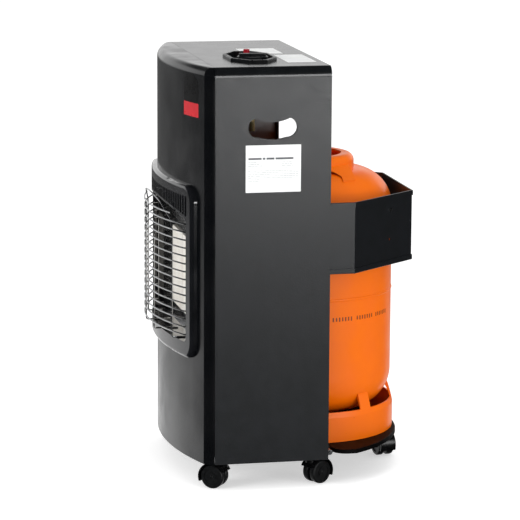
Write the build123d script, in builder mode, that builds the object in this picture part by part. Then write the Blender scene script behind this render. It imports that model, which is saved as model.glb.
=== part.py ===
from build123d import *
from math import cos, radians, sin, sqrt
import os

# Cabinet heater for bottled gas, in millimetres. +Z is up, the radiant front faces -Y, and
# X = 0 is the plane of symmetry of the cabinet. Depths are measured from the seam where the
# front shell meets the side panels; the row's origin is on the floor, midway front to back.

# ---------------------------------------------------------------- driving dimensions
cabinet_width = 420.0
cabinet_depth = 195.0          # seam to the rear edge of the side panels
cabinet_height = 712.0         # floor to the top surface
skirt_height = 47.0            # floor to the lower edge of the panels
base_level = 61.5              # floor to the top of the base plate and of the tray
sheet = 1.2                    # pressed steel
seam_gap = 0.5                 # visible joint between two panels
fit_gap = 0.3                  # between sheets that lie on each other
edge_roll = 13.0               # outer radius of the rolled top edges
lip_depth = 3.0                # straight lip below the rolled edge of the top cover
bow_depth = 49.5               # how far the front stands ahead of the seam at the middle
corner_depth = 12.4            # the same at the corner, before it is rounded
corner_radius = 17.0           # vertical front corners
return_flange = 14.0           # inward flange at the back of the front shell
rear_flange = 20.0             # inward flange at the back of each side panel
rear_lip = 15.0                # flange turned down at the back of the top cover

handle_width = 83.0
handle_height = 35.5
handle_dip = 6.5               # how far the top edge of the handle hole sags
handle_depth = 96.0            # seam to the middle of the handle hole
handle_drop = 101.7             # top surface to the middle of the handle hole
handle_collar = 6.0            # inward lip round the handle hole
handle_wall = 1.6

# burner surround, a deep frame round the radiant opening
surround_half = 176.0
surround_low = 219.0
surround_high = 512.0
surround_corner = 27.0
surround_proud = 10.0          # how far it stands ahead of the front shell
surround_wall = 2.5
surround_edge = 7.0            # rounding of its outer edge
mouth_half = 157.0
mouth_low = 247.0
mouth_side_top = 456.0         # top of the mouth at its sides
mouth_crown = 471.5            # and at the middle
mouth_corner = 8.0
mouth_back = -20.0             # the mouth's edge turns inward to this depth
vent_pitch = 9.75
vent_width = 7.2
vent_high = 494.0
vent_half_span = 156.0
vent_web = 3.0                 # metal between the vents and the mouth

# wire guard
guard_wire = 2.6
guard_reach = 76.0             # wire centres ahead of the seam at the middle
guard_side_reach = 40.0        # and where they meet the surround
guard_pitch = 13.35
guard_top = 460.0
guard_wires = 16
guard_hoop_half = 115.0
guard_hoop_top = 482.0
guard_hoop_shoulder = 446.0
guard_inner_half = 38.0
guard_bar_wire = 3.6           # the upright at each end
guard_back = -30.0             # depth that the wires' ends reach inside the mouth
guard_bend = 4.0
hoop_bend = 20.0               # bends of the upright hoop: shoulders, slopes and crown
hoop_slope = 60.0
hoop_crown = 150.0
guard_weld = 0.5               # how far crossing wires are pressed into each other

# radiant burner
plaque_width = 92.0
plaque_height = 136.0
plaque_depth = 12.0
plaque_gap = 3.0
plaque_face = -6.5             # front of the plaques, from the seam
plaque_stand = 2.5             # how far they stand out of their box
plaque_level = 327.0
plaque_count = 3
burner_wall = 1.5
burner_depth = 26.0
reflector_sheet = 0.8
venturi_radius = 11.0
venturi_wall = 1.5
venturi_length = 62.0
venturi_mouth = 17.0
injector_hex = 12.0
injector_length = 16.0
injector_gap = 6.0             # free air between the injector and the venturi
rail_radius = 7.0
rail_half = 112.0
rail_wall = 3.0
rail_corner = 2.0

# heat shield between the burner and the bottle bay
shield_place = 38.0
shield_flange = 12.0

# controls on the top cover
control_x = 84.5
control_depth = 88.0
panel_centre_x = 77.5
panel_centre_depth = 84.5
panel_length = 142.0
panel_width = 79.0
panel_cut_x = 38.0
panel_cut_y = 24.0
panel_rim = 5.0                # height of its rim above the top cover
panel_rim_width = 5.0
panel_pocket = 7.5             # depth of its floor below the top cover
panel_wall = 2.0
knob_radius = 26.0
knob_height = 8.0
knob_grip_width = 9.0
knob_grip_height = 4.5
knob_travel = 4.0
spindle_radius = 4.0
spindle_flat = 1.2
running_gap = 0.05             # radial play of a shaft in its bore
button_x = 35.0
button_radius = 5.3
button_reach = 11.0            # how far it stands above the top cover
button_travel = 3.0
button_edge = 1.2
button_shank = 14.0            # its length below the panel's floor

# gas train
valve_height = 42.0
valve_block = 40.0
valve_block_depth = 36.0
valve_corner = 5.0
neck_radius = 10.0
neck_height = 8.0
igniter_radius = 9.0
igniter_length = 47.5          # below the panel's floor
burner_pipe_drop = 26.5        # top of the valve's block down to each pipe that leaves it
pilot_pipe_drop = 16.5
probe_drop = 6.5
lead_fall = 20.0               # the ignition lead turns forward this far below the igniter
pilot_pipe_inset = 26.0        # from the cabinet's side
probe_inset = 16.0
tail_drop = 20.0               # middle of the handle hole down to the end of the hose tail
hose_tail_radius = 4.5
hose_tail_length = 22.0
hose_tail_plain = 12.0         # its smooth end, below the barbs
hose_tail_barbs = 3
pipe_radius = 4.0
pilot_pipe_radius = 2.0

# bottle
bottle_radius = 151.0
bottle_clear = 3.8             # between the heat shield and the bottle's foot ring
bottle_wall = 3.0
bottle_neck = 14.0
bottle_knuckle = 66.0
bottle_low_knuckle = 165.0     # level of the centre of the lower knuckle
bottle_high_knuckle = 448.0
bottle_bead = 1.2
bottle_bead_width = 5.0
foot_radius = 156.0
foot_wall = 3.0
foot_band_top = 113.0          # top of the unbroken part of the foot ring
foot_bend = 104.0              # level where the ring starts to curve in
foot_top = 139.0
foot_lip_radius = 144.5
foot_windows = 8
foot_bridge_angle = 9.0
foot_bridge_start = 31.4
foot_bulge = 1.5               # how far the ring's upper part stands out of a straight cone
stand_gap = 0.3                # between the bottle's foot and the base
collar_radius = 84.0
collar_rim_radius = 62.0
collar_height = 26.0           # above the crown of the bottle
collar_straight = 13.0         # its upright part, below the rolled rim
collar_wall = 3.0
grip_radius = 122.0
grip_half_width = 64.0
grip_slot = 13.0
grip_slot_half = 40.0
tap_radius = 17.5

# tray that folds down behind the cabinet
tray_inset = 4.0               # the tray's sides stand in from the cabinet's by this
tray_rear_rim = 3.0            # from the bottle's foot ring to the tray's rear edge
tray_clear = 5.5               # from the hinge line to the tray's front edge
tray_side = 38.3               # straight part of its sides, before the bowed rear
tray_corner = 25.0
tray_rim = 7.0
tray_sheet = 1.5
hinge_back = 6.0               # hinge line behind the cabinet's rear edge
hinge_level = 56.0
hinge_pin_radius = 3.0
hinge_inset = 30.0             # from the cabinet's side
hinge_leaf = 34.0

# rear guard, a bent band that holds the bottle
band_low = 364.0
band_height = 120.0
band_side_length = 42.0        # straight part of its sides, behind the cabinet
band_back_half = 99.0
band_clear = 14.0              # between the bottle and the back of the band
band_hem = 8.5
band_hem_out = 1.6
band_inset = 1.8               # the band's sides stand in from the cabinet's by this
band_tab = 18.0
band_hole_radius = 2.2

# casters
wheel_radius = 20.0
wheel_width = 11.0
wheel_gap = 3.2                # from the middle of the caster to the wheel's inner face
caster_trail = 14.0
hood_gap = 2.2
hood_wall = 2.4
stem_radius = 4.0
axle_radius = 2.5
plate_half = 17.0
plate_sheet = 2.5
sleeve_radius = 8.0
sleeve_length = 8.5
caster_inset = 28.0            # swivel stems from the cabinet's sides
caster_front = 19.0
caster_rear_inset = 24.0       # and from its rear edge
tray_caster_inset = 21.0       # from the tray's rear edge
front_left_angle = -125.0      # the way each caster trails
front_right_angle = -60.0
rear_left_angle = 119.0
rear_right_angle = 50.0
tray_caster_angle = 12.0

# ---------------------------------------------------------------- worked out
half = cabinet_width / 2
handle_level = cabinet_height - handle_drop
bottle_depth = shield_place + sheet + bottle_clear + foot_radius
band_side_rear = cabinet_depth + band_side_length
band_rear = bottle_depth + bottle_radius + band_clear
hinge_depth = cabinet_depth + hinge_back
hinge_x = half - hinge_inset
tray_half = half - tray_inset
tray_front = hinge_depth + tray_clear
tray_rear = bottle_depth + foot_radius + tray_rear_rim
caster_x = half - caster_inset
caster_rear = cabinet_depth - caster_rear_inset
tray_caster_depth = tray_rear - tray_caster_inset
front_reach = guard_reach + guard_wire / 2
seam_y = (front_reach - band_rear - band_hem_out) / 2
bow_rise = bow_depth - corner_depth
bow_radius = (half**2 + bow_rise**2) / (2 * bow_rise)
bow_centre = bow_radius - bow_depth
guard_rise = guard_reach - guard_side_reach
guard_radius = (mouth_half**2 + guard_rise**2) / (2 * guard_rise)
guard_centre = guard_radius - guard_reach
base_underside = base_level - sheet
panel_inside = half - sheet


def level(z):
    """Horizontal sketch plane at height z, whose y = 0 is the seam."""
    return Plane(origin=(0, seam_y, z))


def facing(depth):
    """Upright sketch plane at a depth behind the seam, drawn as seen from the front."""
    return Plane(origin=(0, seam_y + depth, 0), x_dir=(1, 0, 0), z_dir=(0, -1, 0))


def flank(x):
    """Upright sketch plane at x, drawn with depth to the right and height up."""
    return Plane(origin=(x, seam_y, 0), x_dir=(0, 1, 0), z_dir=(1, 0, 0))


def save(part, name):
    """Labels a finished piece and writes it."""
    part.label = name
    export_step(part, f"parts/{name}.step")


os.makedirs("parts", exist_ok=True)


# ---------------------------------------------------------------- shared outlines
def bow_at(x, ahead=0.0):
    """Depth of the bowed front face at x, or of a face that many millimetres ahead of it."""
    return bow_centre - sqrt((bow_radius + ahead) ** 2 - x**2)


def shell_plan(inset, back):
    """Plan of the cabinet's front, set in by a thickness and closed at a depth behind the seam."""
    side = half - inset
    corner = bow_at(side, -inset)
    with BuildSketch(mode=Mode.PRIVATE) as plan:
        with BuildLine():
            Polyline((side, corner), (side, cabinet_depth), (-side, cabinet_depth), (-side, corner))
            ThreePointArc((-side, corner), (0, bow_at(0, -inset)), (side, corner))
        make_face()
        fillet(plan.vertices().sort_by(Axis.Y)[:2], corner_radius - inset)
        with Locations((0, back + cabinet_depth)):
            Rectangle(2 * cabinet_width, 2 * cabinet_depth, mode=Mode.SUBTRACT)
    return plan.sketch


def shell_block(inset, back, low):
    """Solid with the front's outer form, set in by a thickness, with its top edges rolled."""
    with BuildPart(mode=Mode.PRIVATE) as block:
        with BuildSketch(level(low)):
            add(shell_plan(inset, back))
        extrude(amount=cabinet_height - inset - low)
        rim = block.faces().sort_by(Axis.Z)[-1].edges()
        fillet(rim.sort_by(Axis.Y)[:-1], edge_roll - inset)
    return block.part


def bow_mass(ahead, back, low, high, wide):
    """Solid from a depth behind the seam up to a bowed face ahead of the front."""
    with BuildPart(mode=Mode.PRIVATE) as mass:
        with BuildSketch(level(low)):
            with BuildLine():
                edge = bow_at(wide, ahead)
                Polyline((wide, edge), (wide, back), (-wide, back), (-wide, edge))
                ThreePointArc((-wide, edge), (0, bow_at(0, ahead)), (wide, edge))
            make_face()
        extrude(amount=high - low)
    return mass.part


def mouth_face(grow):
    """Outline of the radiant mouth: square foot, arched head, rounded corners."""
    with BuildSketch(mode=Mode.PRIVATE) as mouth:
        with BuildLine():
            low, top = mouth_low - grow, mouth_side_top + grow
            side = mouth_half + grow
            Polyline((-side, top), (-side, low), (side, low), (side, top))
            ThreePointArc((side, top), (0, mouth_crown + grow), (-side, top))
        make_face()
        fillet(mouth.vertices(), mouth_corner)
    return mouth.sketch


def mouth_top(x):
    """Height of the mouth's arched head at x."""
    rise = mouth_crown - mouth_side_top
    radius = (mouth_half**2 + rise**2) / (2 * rise)
    return mouth_crown - radius + sqrt(radius**2 - x**2)


def handle_face(grow):
    """Kidney-shaped outline of the hand hole in a side panel."""
    wide, tall = handle_width / 2 + grow, handle_height / 2 + grow
    shoulder, toe = 0.70 * wide, 0.60 * wide
    with BuildSketch(mode=Mode.PRIVATE) as hole:
        with BuildLine():
            ThreePointArc((-shoulder, tall), (0, tall - handle_dip), (shoulder, tall))
            ThreePointArc((shoulder, tall), (wide, 0.15 * tall), (toe, -0.80 * tall))
            ThreePointArc((toe, -0.80 * tall), (0, -tall), (-toe, -0.80 * tall))
            ThreePointArc((-toe, -0.80 * tall), (-wide, 0.15 * tall), (-shoulder, tall))
        make_face()
    return hole.sketch


def panel_face(inset):
    """Long octagon of the control panel, set in by a width."""
    long, wide = panel_length / 2, panel_width / 2
    with BuildSketch(mode=Mode.PRIVATE) as octagon:
        with BuildLine():
            Polyline(
                (long, panel_cut_y - wide), (long, wide - panel_cut_y), (long - panel_cut_x, wide),
                (panel_cut_x - long, wide), (-long, wide - panel_cut_y), (-long, panel_cut_y - wide),
                (panel_cut_x - long, -wide), (long - panel_cut_x, -wide), close=True,
            )
        make_face()
        if inset:
            offset(amount=-inset, kind=Kind.INTERSECTION, mode=Mode.REPLACE)
    return octagon.sketch


def bent_pipe(points, bend, radius):
    """Round pipe along straight runs joined by tangent bends."""
    spots = [(x, seam_y + depth, z) for x, depth, z in points]
    with BuildPart(mode=Mode.PRIVATE) as pipe:
        with BuildLine() as route:
            FilletPolyline(*spots, radius=bend)
        with BuildSketch(Plane(origin=route.line @ 0, z_dir=route.line % 0)):
            Circle(radius)
        sweep()
    return pipe.part


# ---------------------------------------------------------------- cabinet
screw_radius = 2.0
screw_hole = 2.1
screw_head = 3.8
screw_head_height = 2.4
screw_length = 7.0
side_screw_x = half - return_flange / 2
side_screw_low = 120.0
side_screw_drop = 72.0         # top surface to the highest screw of each side
side_screw_high = cabinet_height - side_screw_drop
side_screw_levels = (side_screw_low, (side_screw_low + side_screw_high) / 2, side_screw_high)
top_screw_level = cabinet_height - return_flange / 2
top_screw_spread = 130.0
top_screw_x = (-top_screw_spread, 0.0, top_screw_spread)
flange_foot = base_level + fit_gap
seam_screws = [(s * side_screw_x, z) for s in (-1, 1) for z in side_screw_levels]
seam_screws += [(x, top_screw_level) for x in top_screw_x]

with BuildPart() as front_shell:
    add(shell_block(0, 0, skirt_height))
    add(shell_block(sheet, -sheet, skirt_height - 1), mode=Mode.SUBTRACT)
    with BuildSketch(facing(1)):
        with Locations((0, (flange_foot + cabinet_height - return_flange) / 2)):
            Rectangle(
                cabinet_width - 2 * return_flange, cabinet_height - return_flange - flange_foot
            )
        with Locations((0, (flange_foot + skirt_height - 1) / 2)):
            Rectangle(cabinet_width - 2 * sheet, flange_foot - skirt_height + 1)
    extrude(amount=sheet + 2, mode=Mode.SUBTRACT)
    with BuildSketch(facing(-corner_depth - sheet)):
        cut_margin = (surround_half - mouth_half) / 3
        with Locations((0, (mouth_low - cut_margin + vent_high + cut_margin) / 2)):
            RectangleRounded(
                2 * (mouth_half + cut_margin), vent_high - mouth_low + 2 * cut_margin, mouth_corner
            )
    extrude(amount=bow_depth, mode=Mode.SUBTRACT)
    with BuildSketch(facing(1)):
        with Locations(*seam_screws):
            Circle(screw_hole)
    extrude(amount=sheet + 2, mode=Mode.SUBTRACT)
save(front_shell.part, "front_shell")

cover_low = cabinet_height - edge_roll - lip_depth
with BuildPart() as top_cover:
    for inset, mode in ((0, Mode.ADD), (sheet, Mode.SUBTRACT)):
        with BuildSketch(facing(cabinet_depth)) as hoop:
            with Locations((0, (cover_low + cabinet_height) / 2 - inset)):
                Rectangle(cabinet_width - 2 * inset, cabinet_height - cover_low)
            fillet(hoop.vertices().sort_by(Axis.Y)[-2:], edge_roll - inset)
        extrude(amount=cabinet_depth - seam_gap, mode=mode)
    inside_top = cabinet_height - sheet
    for depth in (cabinet_depth, seam_gap + sheet):
        with BuildSketch(facing(depth)):
            with Locations((0, cabinet_height - rear_lip / 2 - sheet / 2)):
                Rectangle(cabinet_width - 2 * edge_roll, rear_lip - sheet)
        extrude(amount=sheet)
    with BuildSketch(level(inside_top - 1)):
        with Locations((panel_centre_x, panel_centre_depth)):
            add(panel_face(panel_rim_width - panel_wall - fit_gap))
    extrude(amount=sheet + 2, mode=Mode.SUBTRACT)
    with BuildSketch(facing(seam_gap + sheet + 1)):
        with Locations(*[(x, top_screw_level) for x in top_screw_x]):
            Circle(screw_hole)
    extrude(amount=sheet + 2, mode=Mode.SUBTRACT)
save(top_cover.part, "top_cover")

panel_top = cover_low - seam_gap
tab_rise = lip_depth
tab_fall = 12.0


def side_panel(side):
    """Flat side of the cabinet with its flanges, hand hole and slots for the rear guard."""
    with BuildPart(mode=Mode.PRIVATE) as panel:
        with BuildSketch(flank(panel_inside)):
            with Locations(((seam_gap + cabinet_depth) / 2, (skirt_height + panel_top) / 2)):
                Rectangle(cabinet_depth - seam_gap, panel_top - skirt_height)
        extrude(amount=sheet)
        with BuildSketch(level(skirt_height)):
            with Locations((panel_inside - return_flange / 2, (seam_gap + cabinet_depth) / 2)):
                Rectangle(return_flange, cabinet_depth - seam_gap)
        extrude(amount=sheet)
        for depth, reach in ((seam_gap, return_flange - sheet), (cabinet_depth - sheet, rear_flange)):
            with BuildSketch(level(flange_foot)):
                with Locations((panel_inside - reach / 2, depth + sheet / 2)):
                    Rectangle(reach, sheet)
            extrude(amount=panel_top - flange_foot)
        tab_x = panel_inside - fit_gap - sheet
        with BuildSketch(facing(cabinet_depth - 2 * sheet)):
            with Locations((tab_x + sheet / 2, panel_top + (tab_rise - tab_fall) / 2)):
                Rectangle(sheet, tab_rise + tab_fall)
            with Locations((panel_inside - sheet / 2, panel_top - tab_fall / 2 - tab_rise)):
                Rectangle(sheet, tab_fall - 2 * tab_rise)
        extrude(amount=cabinet_depth - 4 * sheet - seam_gap)
        with BuildSketch(flank(panel_inside - handle_collar)):
            with Locations((handle_depth, handle_level)):
                add(handle_face(handle_wall))
        extrude(amount=handle_collar)
        with BuildSketch(flank(panel_inside - handle_collar - 1)):
            with Locations((handle_depth, handle_level)):
                add(handle_face(0))
        extrude(amount=handle_collar + sheet + 2, mode=Mode.SUBTRACT)
        with BuildSketch(facing(seam_gap + sheet + 1)):
            with Locations(*[(side_screw_x, z) for z in side_screw_levels]):
                Circle(screw_hole)
        extrude(amount=sheet + 2, mode=Mode.SUBTRACT)
        with BuildSketch(facing(cabinet_depth + 1)):
            with Locations(*[(stud_x, z + stud_slot_rise / 2) for z in stud_levels]):
                SlotOverall(stud_slot_rise + 2 * stud_slot_half, 2 * stud_slot_half, rotation=90)
        extrude(amount=sheet + 2, mode=Mode.SUBTRACT)
    if side < 0:
        return mirror(panel.part, about=Plane.YZ)
    return panel.part


stud_radius = 2.5
stud_length = 4.5
stud_head = 1.0                # how far its head stands out, and over the hole
stud_slot_half = 3.2
stud_slot_rise = 6.0
stud_inset = 24.0
stud_levels = (band_low + stud_inset, band_low + band_height - stud_inset)
stud_x = panel_inside - rear_flange / 2

save(side_panel(1), "side_panel_left")
save(side_panel(-1), "side_panel_right")

base_inset = sheet + fit_gap
base_rear = cabinet_depth - sheet - fit_gap
caster_spots = [(s * caster_x, depth) for s in (-1, 1) for depth in (caster_front, caster_rear)]
plate_screw_edge = 4.5
plate_screw_inset = plate_half - plate_screw_edge
plate_corner = 3.0
plate_screw_radius = 1.8
plate_screw_hole = 1.9


def plate_screw_spots(x, depth):
    """Four screw places of one caster plate."""
    a = plate_screw_inset
    return [(x + sx * a, depth + sy * a) for sx in (-1, 1) for sy in (-1, 1)]


with BuildPart() as base_plate:
    with BuildSketch(level(base_underside)):
        add(shell_plan(base_inset, base_rear))
    extrude(amount=sheet)
    flange_low = skirt_height + sheet + fit_gap
    for s in (-1, 1):
        with BuildSketch(level(flange_low)):
            with Locations((s * (half - base_inset - sheet / 2), (seam_gap + base_rear) / 2)):
                Rectangle(sheet, base_rear - seam_gap)
        extrude(amount=base_underside - flange_low)
    with BuildSketch(level(flange_low)):
        with Locations((0, base_rear - sheet / 2)):
            Rectangle(cabinet_width - 2 * return_flange - 4 * sheet, sheet)
    extrude(amount=base_underside - flange_low)
    with BuildSketch(level(base_underside - 1)):
        with Locations(*[p for x, depth in caster_spots for p in plate_screw_spots(x, depth)]):
            Circle(plate_screw_hole)
    extrude(amount=sheet + 2, mode=Mode.SUBTRACT)
save(base_plate.part, "base_plate")

shield_half = panel_inside - sheet - 2 * fit_gap
shield_top = cover_low
pipe_hole = 7.0
floor_top = cabinet_height - panel_pocket
floor_low = floor_top - panel_wall
block_top = floor_low - neck_height
burner_pipe_level = block_top - burner_pipe_drop
pilot_pipe_level = block_top - pilot_pipe_drop
probe_level = block_top - probe_drop
pilot_pipe_x = half - pilot_pipe_inset
probe_x = half - probe_inset
igniter_low = floor_low - igniter_length
lead_level = igniter_low - lead_fall
small_holes = [(pilot_pipe_x, pilot_pipe_level), (probe_x, probe_level), (button_x, lead_level)]
with BuildPart() as heat_shield:
    with BuildSketch(facing(shield_place + sheet)):
        with Locations((0, (flange_foot + shield_top) / 2)):
            Rectangle(2 * shield_half, shield_top - flange_foot)
    extrude(amount=sheet)
    for s in (-1, 1):
        with BuildSketch(level(flange_foot)):
            with Locations((s * (shield_half - sheet / 2), shield_place - shield_flange / 2)):
                Rectangle(sheet, shield_flange)
        extrude(amount=shield_top - flange_foot)
    with BuildSketch(facing(shield_place + sheet + 1)):
        with Locations((control_x, burner_pipe_level)):
            Circle(pipe_hole)
        with Locations(*small_holes):
            Circle(pipe_hole / 2)
    extrude(amount=sheet + 2, mode=Mode.SUBTRACT)
save(heat_shield.part, "heat_shield")

with BuildPart() as cabinet_screws:
    front_face = facing(seam_gap + sheet)
    with BuildSketch(front_face):
        with Locations(*seam_screws):
            Circle(screw_radius)
    extrude(amount=screw_length)
    with BuildSketch(front_face):
        with Locations(*seam_screws):
            Circle(screw_head)
    extrude(amount=-screw_head_height)
save(cabinet_screws.part, "cabinet_screws")

# ---------------------------------------------------------------- radiant burner
row_half = (plaque_count * plaque_width + (plaque_count - 1) * plaque_gap) / 2
plaque_pitch = plaque_width + plaque_gap
plaque_x = [(i - (plaque_count - 1) / 2) * plaque_pitch for i in range(plaque_count)]
box_half = row_half + fit_gap + burner_wall
box_half_height = plaque_height / 2 + fit_gap + burner_wall
plaque_back = plaque_face + plaque_depth
plaque_ledge = 3.0
box_front = plaque_face + plaque_stand
box_back = box_front + burner_depth
box_low = plaque_level - box_half_height
tube_depth = (box_front + box_back) / 2

with BuildPart() as ceramic_plaques:
    with BuildSketch(facing(plaque_back)):
        with Locations(*[(x, plaque_level) for x in plaque_x]):
            Rectangle(plaque_width, plaque_height)
    extrude(amount=plaque_depth)
save(ceramic_plaques.part, "ceramic_plaques")

with BuildPart() as burner_box:
    with BuildSketch(facing(box_back)):
        with Locations((0, plaque_level)):
            Rectangle(2 * box_half, 2 * box_half_height)
    extrude(amount=burner_depth)
    for depth, grow in ((box_back - burner_wall, -plaque_ledge), (plaque_back, fit_gap)):
        with BuildSketch(facing(depth)):
            with Locations(*[(x, plaque_level) for x in plaque_x]):
                Rectangle(plaque_width + 2 * grow, plaque_height + 2 * grow)
        extrude(amount=burner_depth, mode=Mode.SUBTRACT)
    with BuildSketch(level(box_low - 1)):
        with Locations(*[(x, tube_depth) for x in plaque_x]):
            Circle(venturi_radius - venturi_wall)
    extrude(amount=burner_wall + 2, mode=Mode.SUBTRACT)
save(burner_box.part, "burner_box")

tube_low = box_low - venturi_length
flare_height = 14.0
with BuildPart() as mixing_tubes:
    for x in plaque_x:
        tube_axis = Axis((x, seam_y + tube_depth, 0), (0, 0, 1))
        spoke = Plane(origin=(x, seam_y + tube_depth, 0), x_dir=(1, 0, 0), z_dir=(0, -1, 0))
        with BuildSketch(spoke):
            with BuildLine():
                Polyline(
                    (venturi_radius, tube_low + flare_height), (venturi_radius, box_low),
                    (venturi_radius - venturi_wall, box_low),
                    (venturi_radius - venturi_wall, tube_low + flare_height),
                    (venturi_mouth - venturi_wall, tube_low), (venturi_mouth, tube_low), close=True,
                )
            make_face()
        revolve(axis=tube_axis)
save(mixing_tubes.part, "mixing_tubes")

injector_top = tube_low - injector_gap
injector_low = injector_top - injector_length
injector_tip = 6.0
injector_step = 1.0
injector_bore = 1.0
rail_level = injector_low - rail_radius
with BuildPart() as injectors:
    with BuildSketch(level(injector_low)):
        with Locations(*[(x, tube_depth) for x in plaque_x]):
            RegularPolygon(injector_hex / 2, 6, major_radius=False)
    extrude(amount=injector_length - injector_tip)
    with BuildSketch(level(injector_top - injector_tip)):
        with Locations(*[(x, tube_depth) for x in plaque_x]):
            Circle(injector_hex / 2 - injector_step)
    extrude(amount=injector_tip, taper=20)
    with BuildSketch(level(injector_low - 1)):
        with Locations(*[(x, tube_depth) for x in plaque_x]):
            Circle(injector_bore)
    extrude(amount=injector_length + 2, mode=Mode.SUBTRACT)
save(injectors.part, "injectors")

with BuildPart() as gas_rail:
    with BuildSketch(flank(-rail_half)):
        with Locations((tube_depth, rail_level)):
            RectangleRounded(2 * rail_radius, 2 * rail_radius, rail_corner)
    extrude(amount=2 * rail_half)
    with BuildSketch(flank(-rail_half + rail_wall)):
        with Locations((tube_depth, rail_level)):
            Circle(rail_radius - rail_wall)
    extrude(amount=2 * rail_half, mode=Mode.SUBTRACT)
save(gas_rail.part, "gas_rail")

reflector_back = box_front
reflector_flange = 8.0


def reflector_block(inset):
    """Frustum between the plaques and the mouth, set in by a thickness."""
    with BuildPart(mode=Mode.PRIVATE) as block:
        with BuildSketch(facing(reflector_back)):
            with Locations((0, plaque_level)):
                Rectangle(2 * (box_half - inset), 2 * (box_half_height - inset))
        with BuildSketch(facing(mouth_back)):
            with Locations((0, (mouth_low + mouth_side_top) / 2)):
                Rectangle(2 * (mouth_half - inset), mouth_side_top - mouth_low - 2 * inset)
        loft()
    return block.part


pilot_x = plaque_pitch / 2
pilot_depth = -13.0
pilot_spread = 12.0            # probe and spark stand this far to each side of the pilot
probe_tip_x = pilot_x + pilot_spread
spark_x = pilot_x - pilot_spread
pilot_plate_drop = 13.0
pilot_plate_level = box_low - pilot_plate_drop
pilot_rise = 11.0
pilot_top = box_low + pilot_rise
pilot_slot_width = 32.0
pilot_slot_depth = 9.0
with BuildPart() as reflector:
    add(reflector_block(0))
    with BuildSketch(facing(mouth_back + reflector_sheet)):
        with Locations((0, (mouth_low + mouth_crown) / 2)):
            Rectangle(
                2 * (mouth_half + reflector_flange),
                mouth_crown - mouth_low + 2 * reflector_flange,
            )
    extrude(amount=reflector_sheet)
    add(reflector_block(reflector_sheet), mode=Mode.SUBTRACT)
    with BuildSketch(level(mouth_low - 1)):
        with Locations((pilot_x, pilot_depth)):
            Rectangle(pilot_slot_width, pilot_slot_depth)
    extrude(amount=plaque_level - mouth_low, mode=Mode.SUBTRACT)
save(reflector.part, "reflector")

# ---------------------------------------------------------------- surround and wire guard


def surround_block(inset, ahead, round_edge):
    """Slab of the surround from the shell's face forward, set in all round by a width."""
    low, high = surround_low + inset, surround_high - inset
    with BuildPart(mode=Mode.PRIVATE) as block:
        add(bow_mass(ahead, -corner_depth / 2, surround_low - 1, surround_high + 1, surround_half + 1))
        with BuildSketch(facing(0)):
            with Locations((0, (low + high) / 2)):
                RectangleRounded(
                    2 * (surround_half - inset), high - low, surround_corner - inset
                )
        extrude(amount=bow_depth + surround_proud + 1, mode=Mode.INTERSECT)
        fillet(block.faces().sort_by(Axis.Y)[0].edges(), round_edge)
    return block.part


def mouth_collar():
    """Wall round the mouth, from the surround's face back to the reflector."""
    with BuildPart(mode=Mode.PRIVATE) as collar:
        add(
            bow_mass(surround_proud - surround_wall / 2, mouth_back, mouth_low - 2 * surround_wall,
                     mouth_crown + 2 * surround_wall, mouth_half + 2 * surround_wall)
        )
        with BuildSketch(facing(0)):
            add(mouth_face(surround_wall))
        extrude(amount=bow_depth + surround_proud + 1, mode=Mode.INTERSECT)
    return collar.part


vent_count = 2 * int(vent_half_span / vent_pitch) + 1
with BuildPart() as burner_surround:
    add(surround_block(0, surround_proud, surround_edge))
    add(
        surround_block(
            surround_wall, surround_proud - surround_wall, surround_edge - surround_wall
        ),
        mode=Mode.SUBTRACT,
    )
    add(bow_mass(fit_gap / 2, 1, surround_low - 1, surround_high + 1, half - 2), mode=Mode.SUBTRACT)
    add(mouth_collar())
    with BuildSketch(facing(0)):
        add(mouth_face(0))
    extrude(amount=2 * bow_depth + surround_proud, mode=Mode.SUBTRACT)
    for i in range(vent_count):
        vent_x = (i - (vent_count - 1) / 2) * vent_pitch
        vent_low = mouth_top(max(abs(vent_x) - vent_width / 2, 0)) + vent_web
        with BuildSketch(facing(0)):
            with Locations((vent_x, (vent_low + vent_high) / 2)):
                RectangleRounded(vent_width, vent_high - vent_low, vent_width / 3)
        extrude(amount=2 * bow_depth + surround_proud, mode=Mode.SUBTRACT)
save(burner_surround.part, "burner_surround")


def guard_at(x, behind=0.0):
    """Depth of the guard's bowed surface at x, or of one that many millimetres behind it."""
    return guard_centre - sqrt((guard_radius - behind) ** 2 - x**2)


guard_span = mouth_half - guard_bar_wire / 2


def long_wire(z):
    """Bowed wire whose two ends turn back into the mouth."""
    with BuildPart(mode=Mode.PRIVATE) as wire:
        with BuildLine(level(z)) as route:
            end = guard_at(guard_span)
            Line((-guard_span, guard_back), (-guard_span, end))
            ThreePointArc((-guard_span, end), (0, -guard_reach), (guard_span, end))
            Line((guard_span, end), (guard_span, guard_back))
            fillet(route.vertices().sort_by(Axis.Y)[:2], guard_bend)
        with BuildSketch(Plane(origin=route.wire() @ 0, z_dir=route.wire() % 0)):
            Circle(guard_wire / 2)
        sweep()
    return wire.part


def short_wire(z, span):
    """Bowed wire that only crosses the hoop."""
    with BuildPart(mode=Mode.PRIVATE) as wire:
        with BuildLine(level(z)) as route:
            ThreePointArc((-span, guard_at(span)), (0, -guard_reach), (span, guard_at(span)))
        with BuildSketch(Plane(origin=route.line @ 0, z_dir=route.line % 0)):
            Circle(guard_wire / 2)
        sweep()
    return wire.part


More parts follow.
